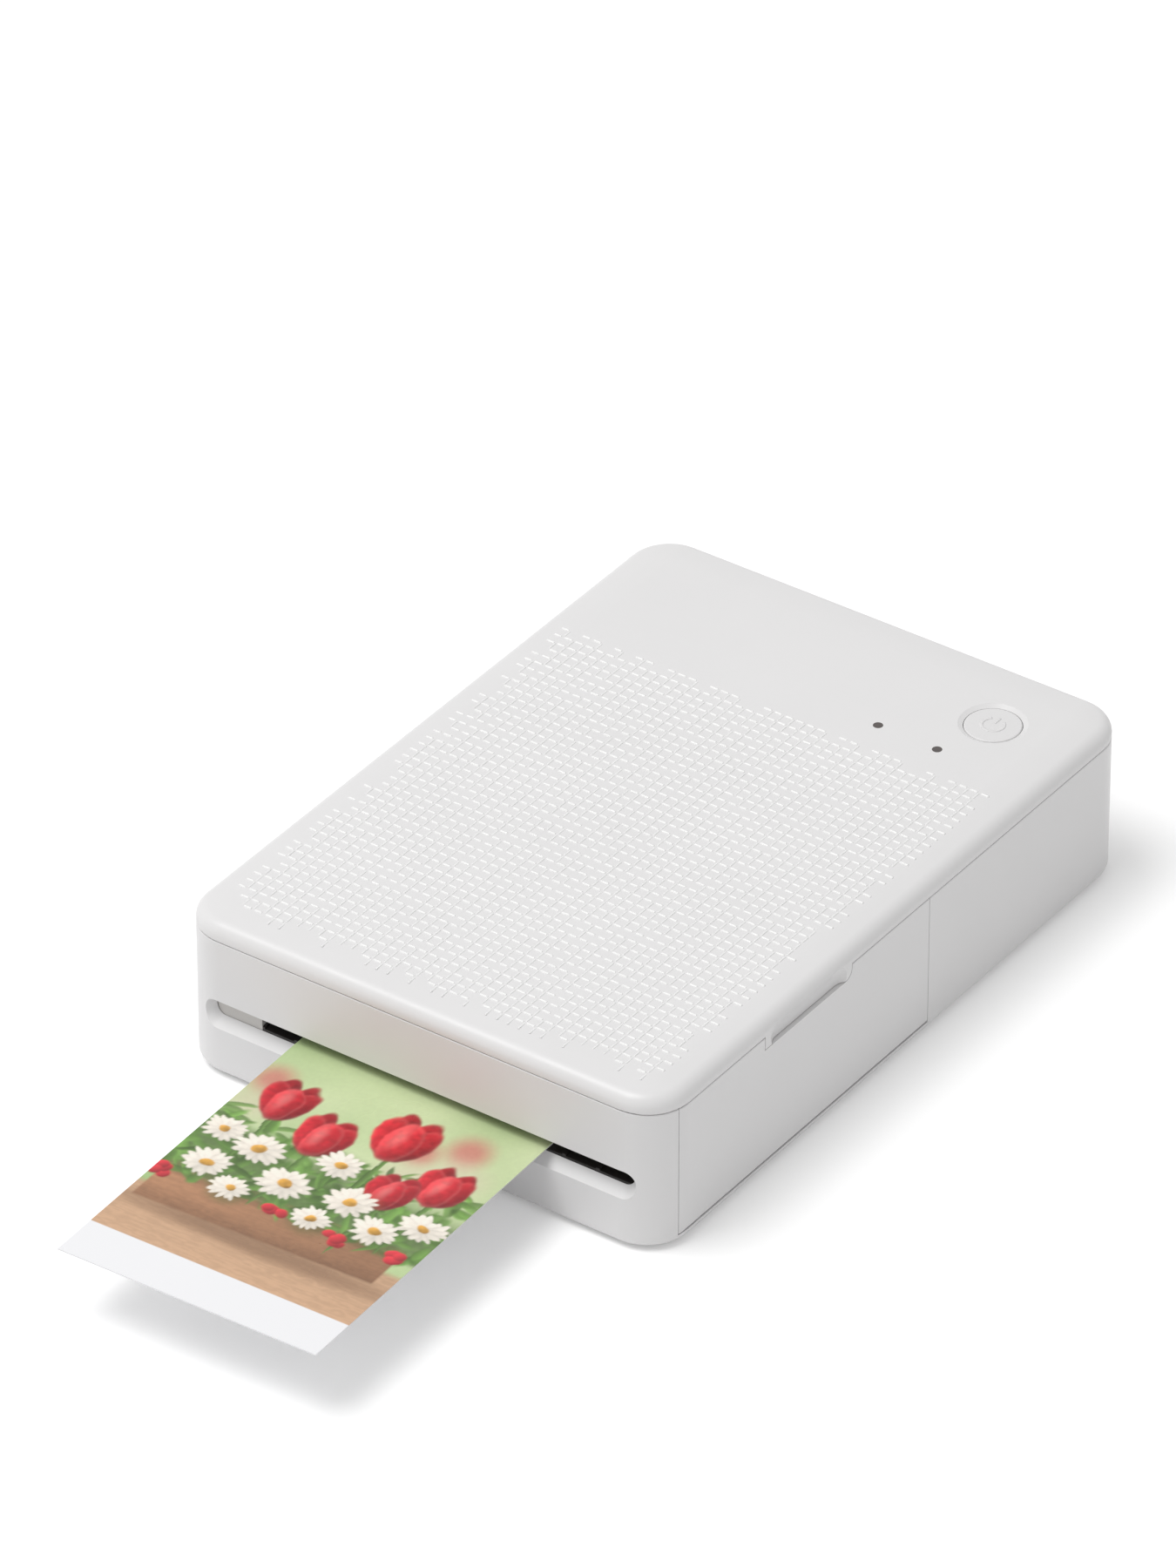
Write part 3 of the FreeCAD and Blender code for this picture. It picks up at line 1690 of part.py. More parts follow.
def make_drive_hub():
    y = takeup_y
    start = 0.0
    x0 = inner_layer_left
    x1 = inner_layer_right
    gear = gear_blank(hub_teeth, x0, x1, y, spool_z, start)
    shaft = rod_x(x1, plate_inner_left + hub_flange_gap, y, spool_z, hub_shaft_radius)
    nose_start = plate_inner_left + hub_flange_gap
    nose = rod_x(nose_start, nose_start + nose_reach, y, spool_z, nose_radius)
    key = block(
        core_left,
        nose_start + nose_reach,
        y - core_key_reach + nose_key_gap,
        y + core_key_reach - nose_key_gap,
        spool_z - core_key_width * half_share + nose_key_gap,
        spool_z + core_key_width * half_share - nose_key_gap,
    )
    return fused([gear, shaft, nose, key])


def make_ribbon_pinion():
    y, z = ribbon_motor_centre()
    start = meshed_start((takeup_y, spool_z), hub_teeth, 0.0, (y, z), ribbon_pinion_teeth)
    gear = gear_blank(ribbon_pinion_teeth, inner_layer_left, inner_layer_right, y, z, start)
    shaft = rod_x(inner_layer_right, plate_inner_left - running_gap, y, z, motor_shaft_radius)
    return fused([gear, shaft])


def make_ribbon_motor():
    y, z = ribbon_motor_centre()
    return motor_can(y, z, ribbon_motor_radius, ribbon_motor_length)


def make_supply_spindle():
    y = supply_y
    rivet = rod_x(plate_outer_left - running_gap, plate_inner_left, y, spool_z, stud_radius)
    nose = rod_x(plate_inner_left, plate_inner_left + nose_reach, y, spool_z, core_bore - running_gap)
    return fused([rivet, nose])


# Rear frame, battery, board and what is on it
post_radius = 1.6
board_hole_radius = 0.8
post_inset = 1.8
battery_left_inset = 4.2
battery_right_inset = 4.4
battery_front_inset = 2.0
battery_back_inset = 10.0
battery_corner = 2.0
battery_left = board_left + battery_left_inset
battery_right = board_right - battery_right_inset
battery_front = board_front + battery_front_inset
battery_back = frame_back - battery_back_inset
chip_places_shares = ((0.18, 0.22), (0.42, 0.30), (0.30, 0.55))
chip_size = 7.0
chip_height = 1.0
shield_left_share = 0.52
shield_right_share = 0.86
shield_front_share = 0.08
shield_back_share = 0.34
shield_height = 1.8
switch_size = 6.0
switch_height = 1.8
stem_radius = 1.1
stem_dip = 0.4
chip_lamp = 1.6
chip_lamp_height = 0.5
guide_gap = 0.2
guide_flange_radius = 1.5
guide_flange_height = 0.8


def post_places():
    return [
        (x, y)
        for x in (board_left + post_inset, board_right - post_inset)
        for y in (board_front + post_inset, frame_back - 2 * post_inset)
    ]


def make_rear_frame():
    frame = block(plate_inner_left, plate_inner_right, frame_front, plate_back, frame_bottom, frame_top)
    tail = block(
        board_left,
        plate_inner_right,
        plate_back,
        frame_back,
        frame_bottom,
        frame_top,
    )
    posts = [rod_z(frame_top, board_bottom, x, y, post_radius) for x, y in post_places()]
    frame = fused([frame, tail] + posts)
    for x, y in post_places():
        frame = frame.cut(rod_z(board_bottom - 2 * overrun, board_bottom + overrun, x, y, board_hole_radius))
    return frame


def make_battery():
    return rounded_block(
        battery_left,
        battery_right,
        battery_front,
        battery_back,
        frame_top,
        frame_top + battery_height,
        battery_corner,
    )


def make_main_board():
    board = rounded_block(
        board_left, board_right, board_front, board_back, board_bottom, board_top, board_thickness
    )
    for x, y in post_places():
        board = board.cut(rod_z(board_bottom - overrun, board_top + overrun, x, y, board_hole_radius))
    return board


def board_spot(x_share, y_share):
    return (
        board_left + (board_right - board_left) * x_share,
        board_front + (board_back - board_front) * y_share,
    )


def make_board_chips():
    chips = []
    half = chip_size * half_share
    for x_share, y_share in chip_places_shares:
        x, y = board_spot(x_share, y_share)
        chips.append(block(x - half, x + half, y - half, y + half, board_top, board_top + chip_height))
    return chips


def make_board_shield():
    x0, y0 = board_spot(shield_left_share, shield_front_share)
    x1, y1 = board_spot(shield_right_share, shield_back_share)
    return block(x0, x1, y0, y1, board_top, board_top + shield_height)


def make_board_screws():
    screws = []
    for x, y in post_places():
        head = rod_z(board_top, board_top + screw_head_height, x, y, post_radius)
        shank = rod_z(board_bottom - overrun, board_top, x, y, board_hole_radius)
        screws.append(fused([head, shank]))
    return screws


def make_usb_socket():
    back = half_depth - wall * half_share
    outer = stadium(
        usb_x - usb_width * half_share,
        usb_x + usb_width * half_share,
        board_bottom - usb_height,
        board_bottom,
        back,
    )
    shell = Part.Face(outer).extrude(V(0, -usb_length, 0))
    skin = slip_gap
    inner = stadium(
        usb_x - usb_width * half_share + skin,
        usb_x + usb_width * half_share - skin,
        board_bottom - usb_height + skin,
        board_bottom - skin,
        back,
    )
    hollow = Part.Face(inner).extrude(V(0, -usb_length + bush_wall, 0))
    middle = board_bottom - usb_height * half_share
    tongue = block(
        usb_x - usb_width * half_share + 2 * bush_wall,
        usb_x + usb_width * half_share - 2 * bush_wall,
        back - usb_length + bush_wall * half_share,
        back - bush_wall,
        middle - skin,
        middle + skin,
    )
    return fused([shell.cut(hollow), tongue])


def make_power_switch():
    half = switch_size * half_share
    body = block(
        button_x - half,
        button_x + half,
        button_y - half,
        button_y + half,
        board_top,
        board_top + switch_height,
    )
    depth = stem_dip + button_travel + slip_gap
    top = board_top + switch_height
    return body.cut(rod_z(top - depth, top + overrun, button_x, button_y, stem_radius + running_gap))


def make_power_button():
    top = total_height - button_drop
    flange_top = cover_underside - running_gap
    flange_bottom = flange_top - button_flange_thickness
    stem_bottom = board_top + switch_height - stem_dip
    cap = rod_z(flange_bottom, top, button_x, button_y, button_radius)
    rim = [edge for edge in cap.Edges if edge.BoundBox.ZMin > top - running_gap]
    cap = cap.makeFillet(slip_gap, rim)
    flange = rod_z(flange_bottom, flange_top, button_x, button_y, button_flange_radius)
    stem = rod_z(stem_bottom, flange_bottom, button_x, button_y, stem_radius)
    return fused([cap, flange, stem])


def make_board_lamps():
    half = chip_lamp * half_share
    return [
        block(x - half, x + half, y - half, y + half, board_top, board_top + chip_lamp_height)
        for x, y in (left_lamp, right_lamp)
    ]


def make_light_guides():
    guides = []
    for x, y in (left_lamp, right_lamp):
        rod = rod_z(board_top + chip_lamp_height + guide_gap, total_height, x, y, lamp_radius)
        flange = rod_z(cover_underside - guide_flange_height, cover_underside, x, y, guide_flange_radius)
        guides.append(fused([rod, flange]))
    return guides


cable_side_inset = 14.0
cable_width = 18.0
cable_thickness = 0.15
cable_overlap = 1.6
cable_right = board_right - cable_side_inset
cable_left = cable_right - cable_width
cable_start = bridge_back - cable_overlap
plug_depth = 2.2
plug_height = 1.4


def make_head_cable():
    tube_top = spool_z + tube_radius
    high = (tube_top + bridge_bottom) * half_share
    plug_top = board_top + plug_height
    points = [
        (cable_start, bridge_bottom - slip_gap),
        (supply_y, high),
        (supply_y + tube_radius + slip_gap, high - tube_wall),
        (board_front + plug_depth * half_share, plug_top),
    ]
    strip = prism_x(thick_line(points, cable_thickness), cable_left, cable_right)
    plug = block(cable_left, cable_right, board_front, board_front + plug_depth, board_top, plug_top)
    return fused([strip, plug])


save("main_case", make_main_case())
save("top_cover", make_top_cover())
save("foot_ring", make_foot_ring())
save("case_screws", make_case_screws())
save("cassette_door", make_cassette_door())
save("paper_cover", make_paper_cover())
save("hinge_pins", make_hinge_pins())
save("lift_plate", make_lift_plate())
save("lift_springs", make_lift_springs())
save("paper_stack", make_paper_stack())
save("photo_print", make_photo_print())
save("left_chassis", make_left_chassis())
save("right_chassis", make_right_chassis())
save("chassis_bridge", make_chassis_bridge())
save("inner_screws", make_chassis_screws() + make_board_screws())
save("exit_guide", make_exit_guide())
save("lower_guide", make_lower_guide())
save("feed_roller", make_feed_roller())
save("pinch_roller", make_pinch_roller())
save("platen_shaft", make_platen_shaft())
save("platen_sleeve", make_platen_sleeve())
save("exit_shaft", make_exit_shaft())
save("exit_tyres", make_exit_tyres())
save("exit_pinch_roller", make_exit_pinch())
save("pickup_shaft", make_pickup_shaft())
save("pickup_tyres", make_pickup_tyres())
save("shaft_bushes", make_bushes())
save("feed_gear", make_feed_gear())
save("idler_gear", make_idler_gear())
save("compound_gear", make_compound_gear())
save("gear_studs", make_gear_studs() + [make_supply_spindle()])
save("motor_pinion", make_motor_pinion())
save("feed_motor", make_feed_motor())
save("feed_pulley", make_feed_pulley())
save("exit_pulley", make_exit_pulley())
save("drive_belt", make_drive_belt())
save("thermal_head", make_thermal_head())
save("heat_sink", make_heat_sink())
save("head_bracket", make_head_bracket())
save("head_pivot_shaft", make_head_pivot())
save("head_springs", make_head_springs())
save("cassette_shell", make_cassette_shell())
save("ribbon_film", make_ribbon_film())
save("supply_core", spool_core(supply_y))
save("supply_roll", wound_roll(supply_y, supply_roll_radius))
save("takeup_core", spool_core(takeup_y))
save("takeup_roll", wound_roll(takeup_y, takeup_roll_radius))
save("drive_hub", make_drive_hub())
save("ribbon_pinion", make_ribbon_pinion())
save("ribbon_motor", make_ribbon_motor())
save("rear_frame", make_rear_frame())
save("battery_pack", make_battery())
save("main_board", make_main_board())
save("board_chips", make_board_chips() + make_board_lamps())
save("board_shield", make_board_shield())
save("head_cable", make_head_cable())
save("power_switch", make_power_switch())
save("usb_socket", make_usb_socket())
save("power_button", make_power_button())
save("light_guides", make_light_guides())
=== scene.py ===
import math
import random

import bmesh
import bpy
import numpy as np
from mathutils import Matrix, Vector


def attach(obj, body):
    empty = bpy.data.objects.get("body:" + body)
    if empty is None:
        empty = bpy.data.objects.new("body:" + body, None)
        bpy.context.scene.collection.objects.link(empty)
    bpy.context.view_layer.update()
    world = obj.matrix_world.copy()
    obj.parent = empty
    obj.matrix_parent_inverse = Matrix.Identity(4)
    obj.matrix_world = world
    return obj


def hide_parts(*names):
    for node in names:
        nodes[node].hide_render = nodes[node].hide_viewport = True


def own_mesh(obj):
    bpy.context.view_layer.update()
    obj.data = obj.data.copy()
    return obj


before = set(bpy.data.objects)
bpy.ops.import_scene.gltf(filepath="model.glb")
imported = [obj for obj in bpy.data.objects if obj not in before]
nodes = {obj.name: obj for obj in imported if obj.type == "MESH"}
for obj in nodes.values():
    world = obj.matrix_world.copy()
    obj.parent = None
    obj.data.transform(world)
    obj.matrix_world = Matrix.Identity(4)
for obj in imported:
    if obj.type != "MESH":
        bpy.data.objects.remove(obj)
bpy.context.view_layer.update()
MM = 0.001
random.seed(7)
rng = np.random.default_rng(11)

# Sizes shared with the solids, in millimetres
HALF_WIDTH = 51.1
HALF_DEPTH = 72.9
CORNER = 8.6
TOP = 32.9
EDGE_RADIUS = 2.6
CROWN_INSET = 8.0
CROWN_RISE = 0.5

# Camera: the photograph's view, in metres
CAMERA_PLACE = (0.97303, -1.40096, 1.22694)
CAMERA_FORWARD = (-0.47286, 0.67033, -0.57190)
CAMERA_LENS = 273.04
SENSOR_WIDTH = 36.0
CLIP_NEAR = 0.05
CLIP_FAR = 60.0

# Light levels
WORLD_LEVEL = 0.50
FLOOR_TONE = 0.93
FLOOR_LIFT = 0.20
FLOOR_REACH = 6.0
KEY_PLACE = (-0.5, -0.6, 1.8)
KEY_SIZE = (1.1, 1.1)
KEY_POWER = 21.6


# Camera at the photograph's viewing angle
def make_camera():
    data = bpy.data.cameras.new("camera")
    data.sensor_width = SENSOR_WIDTH
    data.lens = CAMERA_LENS
    data.clip_start = CLIP_NEAR
    data.clip_end = CLIP_FAR
    camera = bpy.data.objects.new("camera", data)
    camera.location = CAMERA_PLACE
    camera.rotation_mode = "QUATERNION"
    camera.rotation_quaternion = Vector(CAMERA_FORWARD).to_track_quat("-Z", "Y")
    bpy.context.scene.collection.objects.link(camera)
    bpy.context.scene.camera = camera


# Small helpers for node materials
class Material:
    def __init__(self, name):
        self.material = bpy.data.materials.new(name)
        self.material.use_nodes = True
        self.tree = self.material.node_tree
        self.shader = self.tree.nodes["Principled BSDF"]

    def node(self, kind, **values):
        made = self.tree.nodes.new(kind)
        for key, value in values.items():
            if hasattr(made, key):
                setattr(made, key, value)
            else:
                made.inputs[key.replace("_", " ")].default_value = value
        return made

    def link(self, start, end):
        self.tree.links.new(start, end)

    def place(self):
        return self.node("ShaderNodeTexCoord").outputs["Object"]

    def noise(self, scale, detail=3.0, rough=0.5, stretch=None):
        made = self.node("ShaderNodeTexNoise")
        made.inputs["Scale"].default_value = scale
        made.inputs["Detail"].default_value = detail
        made.inputs["Roughness"].default_value = rough
        place = self.place()
        if stretch is not None:
            mapping = self.node("ShaderNodeMapping")
            mapping.inputs["Scale"].default_value = stretch
            self.link(place, mapping.inputs["Vector"])
            place = mapping.outputs["Vector"]
        self.link(place, made.inputs["Vector"])
        return made.outputs["Fac"]

    def spread(self, source, low, high, start=0.3, end=0.7):
        made = self.node("ShaderNodeMapRange")
        made.inputs["From Min"].default_value = start
        made.inputs["From Max"].default_value = end
        made.inputs["To Min"].default_value = low
        made.inputs["To Max"].default_value = high
        self.link(source, made.inputs["Value"])
        return made.outputs["Result"]

    def mix(self, share, first, second):
        made = self.node("ShaderNodeMix", data_type="RGBA")
        if isinstance(share, (int, float)):
            made.inputs["Factor"].default_value = share
        else:
            self.link(share, made.inputs["Factor"])
        for source, socket in ((first, made.inputs["A"]), (second, made.inputs["B"])):
            if isinstance(source, tuple):
                socket.default_value = (*source, 1.0)
            else:
                self.link(source, socket)
        return made.outputs["Result"]

    def bump(self, height, strength, distance, before=None):
        made = self.node("ShaderNodeBump")
        made.inputs["Strength"].default_value = strength
        made.inputs["Distance"].default_value = distance
        self.link(height, made.inputs["Height"])
        if before is not None:
            self.link(before, made.inputs["Normal"])
        return made.outputs["Normal"]

    def set(self, socket, value):
        if isinstance(value, (int, float)):
            self.shader.inputs[socket].default_value = value
        elif isinstance(value, tuple):
            self.shader.inputs[socket].default_value = (*value, 1.0)
        else:
            self.link(value, self.shader.inputs[socket])


def linear(red, green, blue):
    def one(value):
        share = value / 255.0
        return share / 12.92 if share <= 0.04045 else ((share + 0.055) / 1.055) ** 2.4

    return (one(red), one(green), one(blue))


def shaded(colour, share):
    return tuple(channel * share for channel in colour)


# Moulded plastic: faint clouding, a fine spark-eroded grain, paler convex edges that are partly
# rubbed wear and partly painted highlight
def plastic(name, colour, rough=0.42, grain=1.0, cloud=0.03, metal=0.0, edge=0.06):
    made = Material(name)
    clouds = made.noise(38.0, 4.0, 0.55)
    share = made.spread(clouds, 0.0, 1.0)
    base = made.mix(share, shaded(colour, 1.0 - cloud), shaded(colour, 1.0 + cloud * 0.6))
    geometry = made.node("ShaderNodeNewGeometry")
    # Convex edges get a share of a paler tone: partly rubbed wear, partly painted highlight
    rubbed_and_highlit_edge = made.spread(geometry.outputs["Pointiness"], 0.0, edge, 0.52, 0.60)
    base = made.mix(rubbed_and_highlit_edge, base, shaded(colour, 1.12))
    made.set("Base Color", base)
    made.set("Roughness", made.spread(made.noise(150.0, 5.0, 0.6), rough - 0.05, rough + 0.06))
    made.set("Metallic", metal)
    made.set("IOR", 1.47)
    fine = made.noise(5200.0, 2.0, 0.5)
    coarse = made.noise(900.0, 3.0, 0.5)
    normal = made.bump(coarse, 0.05 * grain, 0.00006)
    normal = made.bump(fine, 0.16 * grain, 0.00003, normal)
    made.set("Normal", normal)
    return made.material


# Metal with drawn lines along one axis and dull fingerprints
def metal(name, colour, rough=0.3, stretch=(1.0, 40.0, 40.0), scale=160.0, lines=0.25):
    made = Material(name)
    drawn = made.noise(scale, 4.0, 0.6, stretch)
    tint = made.mix(made.spread(drawn, 0.0, 1.0), shaded(colour, 0.90), shaded(colour, 1.06))
    smear = made.noise(60.0, 3.0, 0.5)
    made.set("Base Color", tint)
    made.set("Metallic", 1.0)
    made.set("Roughness", made.spread(smear, rough - 0.06, rough + 0.1))
    made.set("Normal", made.bump(drawn, lines, 0.00003))
    return made.material


def rubber(name, colour, rough=0.7):
    made = Material(name)
    dust = made.noise(220.0, 5.0, 0.65)
    tone = made.mix(made.spread(dust, 0.0, 0.5, 0.45, 0.75), colour, shaded(colour, 1.5))
    made.set("Base Color", tone)
    made.set("Roughness", made.spread(made.noise(90.0, 3.0, 0.5), rough - 0.07, rough + 0.1))
    made.set("Normal", made.bump(made.noise(2600.0, 3.0, 0.6), 0.3, 0.00004))
    return made.material


# Where a single solid shows two tones, the tone changes with the place on it, in millimetres
def above(made, axis, value, soft=0.05):
    split = made.node("ShaderNodeSeparateXYZ")
    made.link(made.place(), split.inputs[0])
    half = soft * MM
    return made.spread(split.outputs[axis], 0.0, 1.0, value * MM - half, value * MM + half)


WHITE = linear(229, 228, 228)
materials = {
    "shell": plastic("shell_plastic", WHITE, 0.34, 1.0, 0.012),
    # The dash and link plastics are paler than the shell as a painted highlight on the bars' lit
    # faces
    "dash": plastic("dash_highlight_plastic", linear(249, 249, 248), 0.28, 0.6, 0.006),
    "link": plastic("link_highlight_plastic", linear(237, 237, 236), 0.30, 0.8, 0.008),
    "button": plastic("button_plastic", shaded(WHITE, 0.98), 0.36, 0.7, 0.010),
    "foot": rubber("foot_rubber", linear(150, 150, 148), 0.75),
    "dark": plastic("dark_plastic", linear(30, 28, 27), 0.5, 1.4, 0.08),
    "gear": plastic("gear_plastic", linear(222, 219, 208), 0.38, 0.6, 0.03),
    "core": plastic("core_plastic", linear(226, 226, 222), 0.40, 0.8, 0.02),
    "cassette": plastic("cassette_plastic", linear(96, 98, 104), 0.46, 1.3, 0.05),
    "tyre": rubber("tyre_rubber", linear(36, 35, 35), 0.65),
    "steel": metal("plate_steel", linear(196, 197, 200), 0.32, (40.0, 1.0, 40.0)),
    "shaft": metal("shaft_steel", linear(202, 203, 206), 0.24, (40.0, 1.0, 1.0), 90.0, 0.12),
    "spring": metal("spring_steel", linear(150, 152, 158), 0.3, (1.0, 1.0, 1.0), 500.0, 0.1),
    "brass": metal("bush_brass", linear(212, 176, 106), 0.28, (40.0, 1.0, 1.0), 200.0, 0.12),
    "can": metal("motor_steel", linear(178, 180, 184), 0.34, (1.0, 30.0, 30.0), 220.0, 0.2),
    "aluminium": metal(
        "sink_aluminium", linear(206, 208, 211), 0.38, (1.0, 60.0, 60.0), 120.0, 0.35
    ),
}


# Right end of the throat piece's pale block, in millimetres
PALE_BLOCK_END = -34.35


def guide_material():
    made = Material("throat_plastic")
    dark = linear(36, 32, 30)
    pale = linear(206, 203, 199)
    left = made.node("ShaderNodeMath", operation="SUBTRACT")
    left.inputs[0].default_value = 1.0
    made.link(above(made, "X", PALE_BLOCK_END), left.inputs[1])
    clouds = made.noise(60.0, 4.0, 0.5)
    tone = made.mix(made.spread(clouds, 0.0, 1.0), shaded(dark, 0.85), shaded(dark, 1.2))
    light = made.mix(made.spread(clouds, 0.0, 1.0), shaded(pale, 0.97), pale)
    made.set("Base Color", made.mix(left.outputs[0], tone, light))
    made.set("Roughness", made.spread(made.noise(150.0, 4.0, 0.5), 0.38, 0.52))
    made.set("Normal", made.bump(made.noise(4000.0, 2.0, 0.5), 0.15, 0.00003))
    return made.material


def ceramic_material():
    made = Material("head_ceramic")
    base = linear(206, 200, 190)
    clouds = made.noise(120.0, 3.0, 0.5)
    made.set("Base Color", made.mix(made.spread(clouds, 0.0, 1.0), shaded(base, 0.94), base))
    made.set("Roughness", made.spread(made.noise(300.0, 3.0, 0.5), 0.16, 0.26))
    made.set("Coat Weight", 0.4)
    made.set("Normal", made.bump(made.noise(1500.0, 2.0, 0.5), 0.06, 0.00002))
    return made.material


# Dye ribbon: three colour panels that follow each other along its length
def ribbon_material():
    made = Material("dye_ribbon")
    split = made.node("ShaderNodeSeparateXYZ")
    made.link(made.place(), split.inputs[0])
    wave = made.node("ShaderNodeMath", operation="MULTIPLY")
    wave.inputs[1].default_value = 42.0
    made.link(split.outputs["Y"], wave.inputs[0])
    turn = made.node("ShaderNodeMath", operation="FRACT")
    made.link(wave.outputs[0], turn.inputs[0])
    ramp = made.node("ShaderNodeValToRGB")
    ramp.color_ramp.interpolation = "CONSTANT"
    ramp.color_ramp.elements[0].color = (*linear(122, 96, 10), 1.0)
    ramp.color_ramp.elements[1].position = 0.36
    ramp.color_ramp.elements[1].color = (*linear(96, 12, 48), 1.0)
    third = ramp.color_ramp.elements.new(0.70)
    third.color = (*linear(8, 62, 96), 1.0)
    made.link(turn.outputs[0], ramp.inputs["Fac"])
    made.set("Base Color", ramp.outputs["Color"])
    made.set("Roughness", made.spread(made.noise(90.0, 3.0, 0.5), 0.16, 0.28))
    made.set("Normal", made.bump(made.noise(400.0, 2.0, 0.5, (0.05, 1.0, 1.0)), 0.15, 0.00005))
    return made.material


def paper_edges_material():
    made = Material("stacked_paper")
    layers = made.node("ShaderNodeTexWave", bands_direction="Z")
    layers.inputs["Scale"].default_value = 636.0
    layers.inputs["Distortion"].default_value = 0.4
    made.link(made.place(), layers.inputs["Vector"])
    base = linear(238, 238, 236)
    made.set("Base Color", made.mix(layers.outputs["Fac"], shaded(base, 0.82), base))
    made.set("Roughness", made.spread(made.noise(300.0, 3.0, 0.5), 0.4, 0.55))
    made.set("Normal", made.bump(layers.outputs["Fac"], 0.3, 0.00005))
    return made.material


# Circuit board: solder mask over faint copper tracks
def board_material():
    made = Material("circuit_board")
    tracks = made.node("ShaderNodeTexBrick", offset=0.37)
    tracks.inputs["Color1"].default_value = (0.0, 0.0, 0.0, 1.0)
    tracks.inputs["Color2"].default_value = (0.1, 0.1, 0.1, 1.0)
    tracks.inputs["Mortar"].default_value = (1.0, 1.0, 1.0, 1.0)
    tracks.inputs["Scale"].default_value = 300.0
    tracks.inputs["Mortar Size"].default_value = 0.03
    made.link(made.place(), tracks.inputs["Vector"])
    mask = linear(20, 92, 58)
    made.set("Base Color", made.mix(tracks.outputs["Color"], mask, linear(46, 128, 78)))
    made.set("Roughness", made.spread(made.noise(200.0, 3.0, 0.5), 0.26, 0.4))
    made.set("Normal", made.bump(tracks.outputs["Fac"], 0.25, 0.00004))
    return made.material


def wrap_material():
    made = Material("battery_wrap")
    base = linear(58, 62, 70)
    wrinkle = made.noise(45.0, 6.0, 0.6, (1.0, 0.25, 1.0))
    tone = made.mix(made.spread(wrinkle, 0.0, 1.0), shaded(base, 0.9), shaded(base, 1.1))
    made.set("Base Color", tone)
    made.set("Roughness", made.spread(wrinkle, 0.25, 0.42))
    made.set("Normal", made.bump(wrinkle, 0.4, 0.0002))
    return made.material


def cable_material():
    made = Material("flat_cable")
    bands = made.node("ShaderNodeTexWave", bands_direction="X")
    bands.inputs["Scale"].default_value = 320.0
    made.link(made.place(), bands.inputs["Vector"])
    tone = made.mix(bands.outputs["Fac"], linear(150, 84, 24), linear(196, 128, 52))
    made.set("Base Color", tone)
    made.set("Roughness", made.spread(made.noise(120.0, 3.0, 0.5), 0.22, 0.34))
    made.set("Normal", made.bump(bands.outputs["Fac"], 0.2, 0.00004))
    return made.material


def lamp_material():
    made = Material("lamp_lens")
    base = linear(58, 46, 42)
    glow = made.noise(900.0, 2.0, 0.5)
    tone = made.mix(made.spread(glow, 0.0, 1.0), shaded(base, 0.8), shaded(base, 1.15))
    made.set("Base Color", tone)
    made.set("Roughness", made.spread(made.noise(400.0, 2.0, 0.5), 0.12, 0.22))
    made.set("Coat Weight", 0.5)
    return made.material


materials.update(
    {
        "guide": guide_material(),
        "ceramic": ceramic_material(),
        "ribbon": ribbon_material(),
        "stack": paper_edges_material(),
        "board": board_material(),
        "chip": plastic("chip_black", linear(38, 38, 41), 0.5, 2.0, 0.06),
        "wrap": wrap_material(),
        "cable": cable_material(),
        "lamp": lamp_material(),
    }
)

DRESS = {
    "shell": ("main_case", "top_cover", "cassette_door", "paper_cover"),
    "button": ("power_button",),
    "foot": ("foot_ring",),
    "steel": (
        "left_chassis",
        "right_chassis",
        "chassis_bridge",
        "head_bracket",
        "board_shield",
        "usb_socket",
    ),
    "shaft": (
        "case_screws",
        "inner_screws",
        "hinge_pins",
        "gear_studs",
        "head_pivot_shaft",
        "feed_roller",
        "pinch_roller",
        "platen_shaft",
        "exit_shaft",
        "pickup_shaft",
    ),
    "spring": ("head_springs", "lift_springs"),
    "dark": ("lift_plate", "lower_guide", "rear_frame", "exit_pinch_roller"),
    "guide": ("exit_guide",),
    "gear": (
        "feed_gear",
        "idler_gear",
        "compound_gear",
        "motor_pinion",
        "drive_hub",
        "ribbon_pinion",
        "feed_pulley",
        "exit_pulley",
    ),
    "tyre": ("drive_belt", "platen_sleeve", "exit_tyres", "pickup_tyres"),
    "brass": ("shaft_bushes",),
    "can": ("feed_motor", "ribbon_motor"),
    "ceramic": ("thermal_head",),
    "aluminium": ("heat_sink",),
    "cassette": ("cassette_shell",),
    "ribbon": ("ribbon_film", "supply_roll", "takeup_roll"),
    "core": ("supply_core", "takeup_core"),
    "stack": ("paper_stack",),
    "board": ("main_board",),
    "chip": ("board_chips", "power_switch"),
    "wrap": ("battery_pack",),
    "cable": ("head_cable",),
    "lamp": ("light_guides",),
}


def dress(thing, material):
    thing.data.materials.clear()
    thing.data.materials.append(material)


for key, names in DRESS.items():
    for name in names:
        dress(nodes[name], materials[key])


# New pieces
def add_mesh(name, vertices, faces, material, body, smooth=True):
    mesh = bpy.data.meshes.new(name)
    mesh.from_pydata([tuple(v) for v in vertices], [], faces)
    mesh.update()
    thing = bpy.data.objects.new(name, mesh)
    bpy.context.scene.collection.objects.link(thing)
    for polygon in mesh.polygons:
        polygon.use_smooth = smooth
    thing.data.materials.append(material)
    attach(thing, body)
    return thing


# Springs: a copy of each spring part with its own mesh, fixed to a body, in place of the part
def make_spring_coils(node, body):
    source = nodes[node]
    thing = bpy.data.objects.new(node + "_coils", source.data.copy())
    thing.matrix_world = source.matrix_world.copy()
    bpy.context.scene.collection.objects.link(thing)
    dress(thing, materials["spring"])
    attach(thing, body)
    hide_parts(node)
    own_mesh(thing)


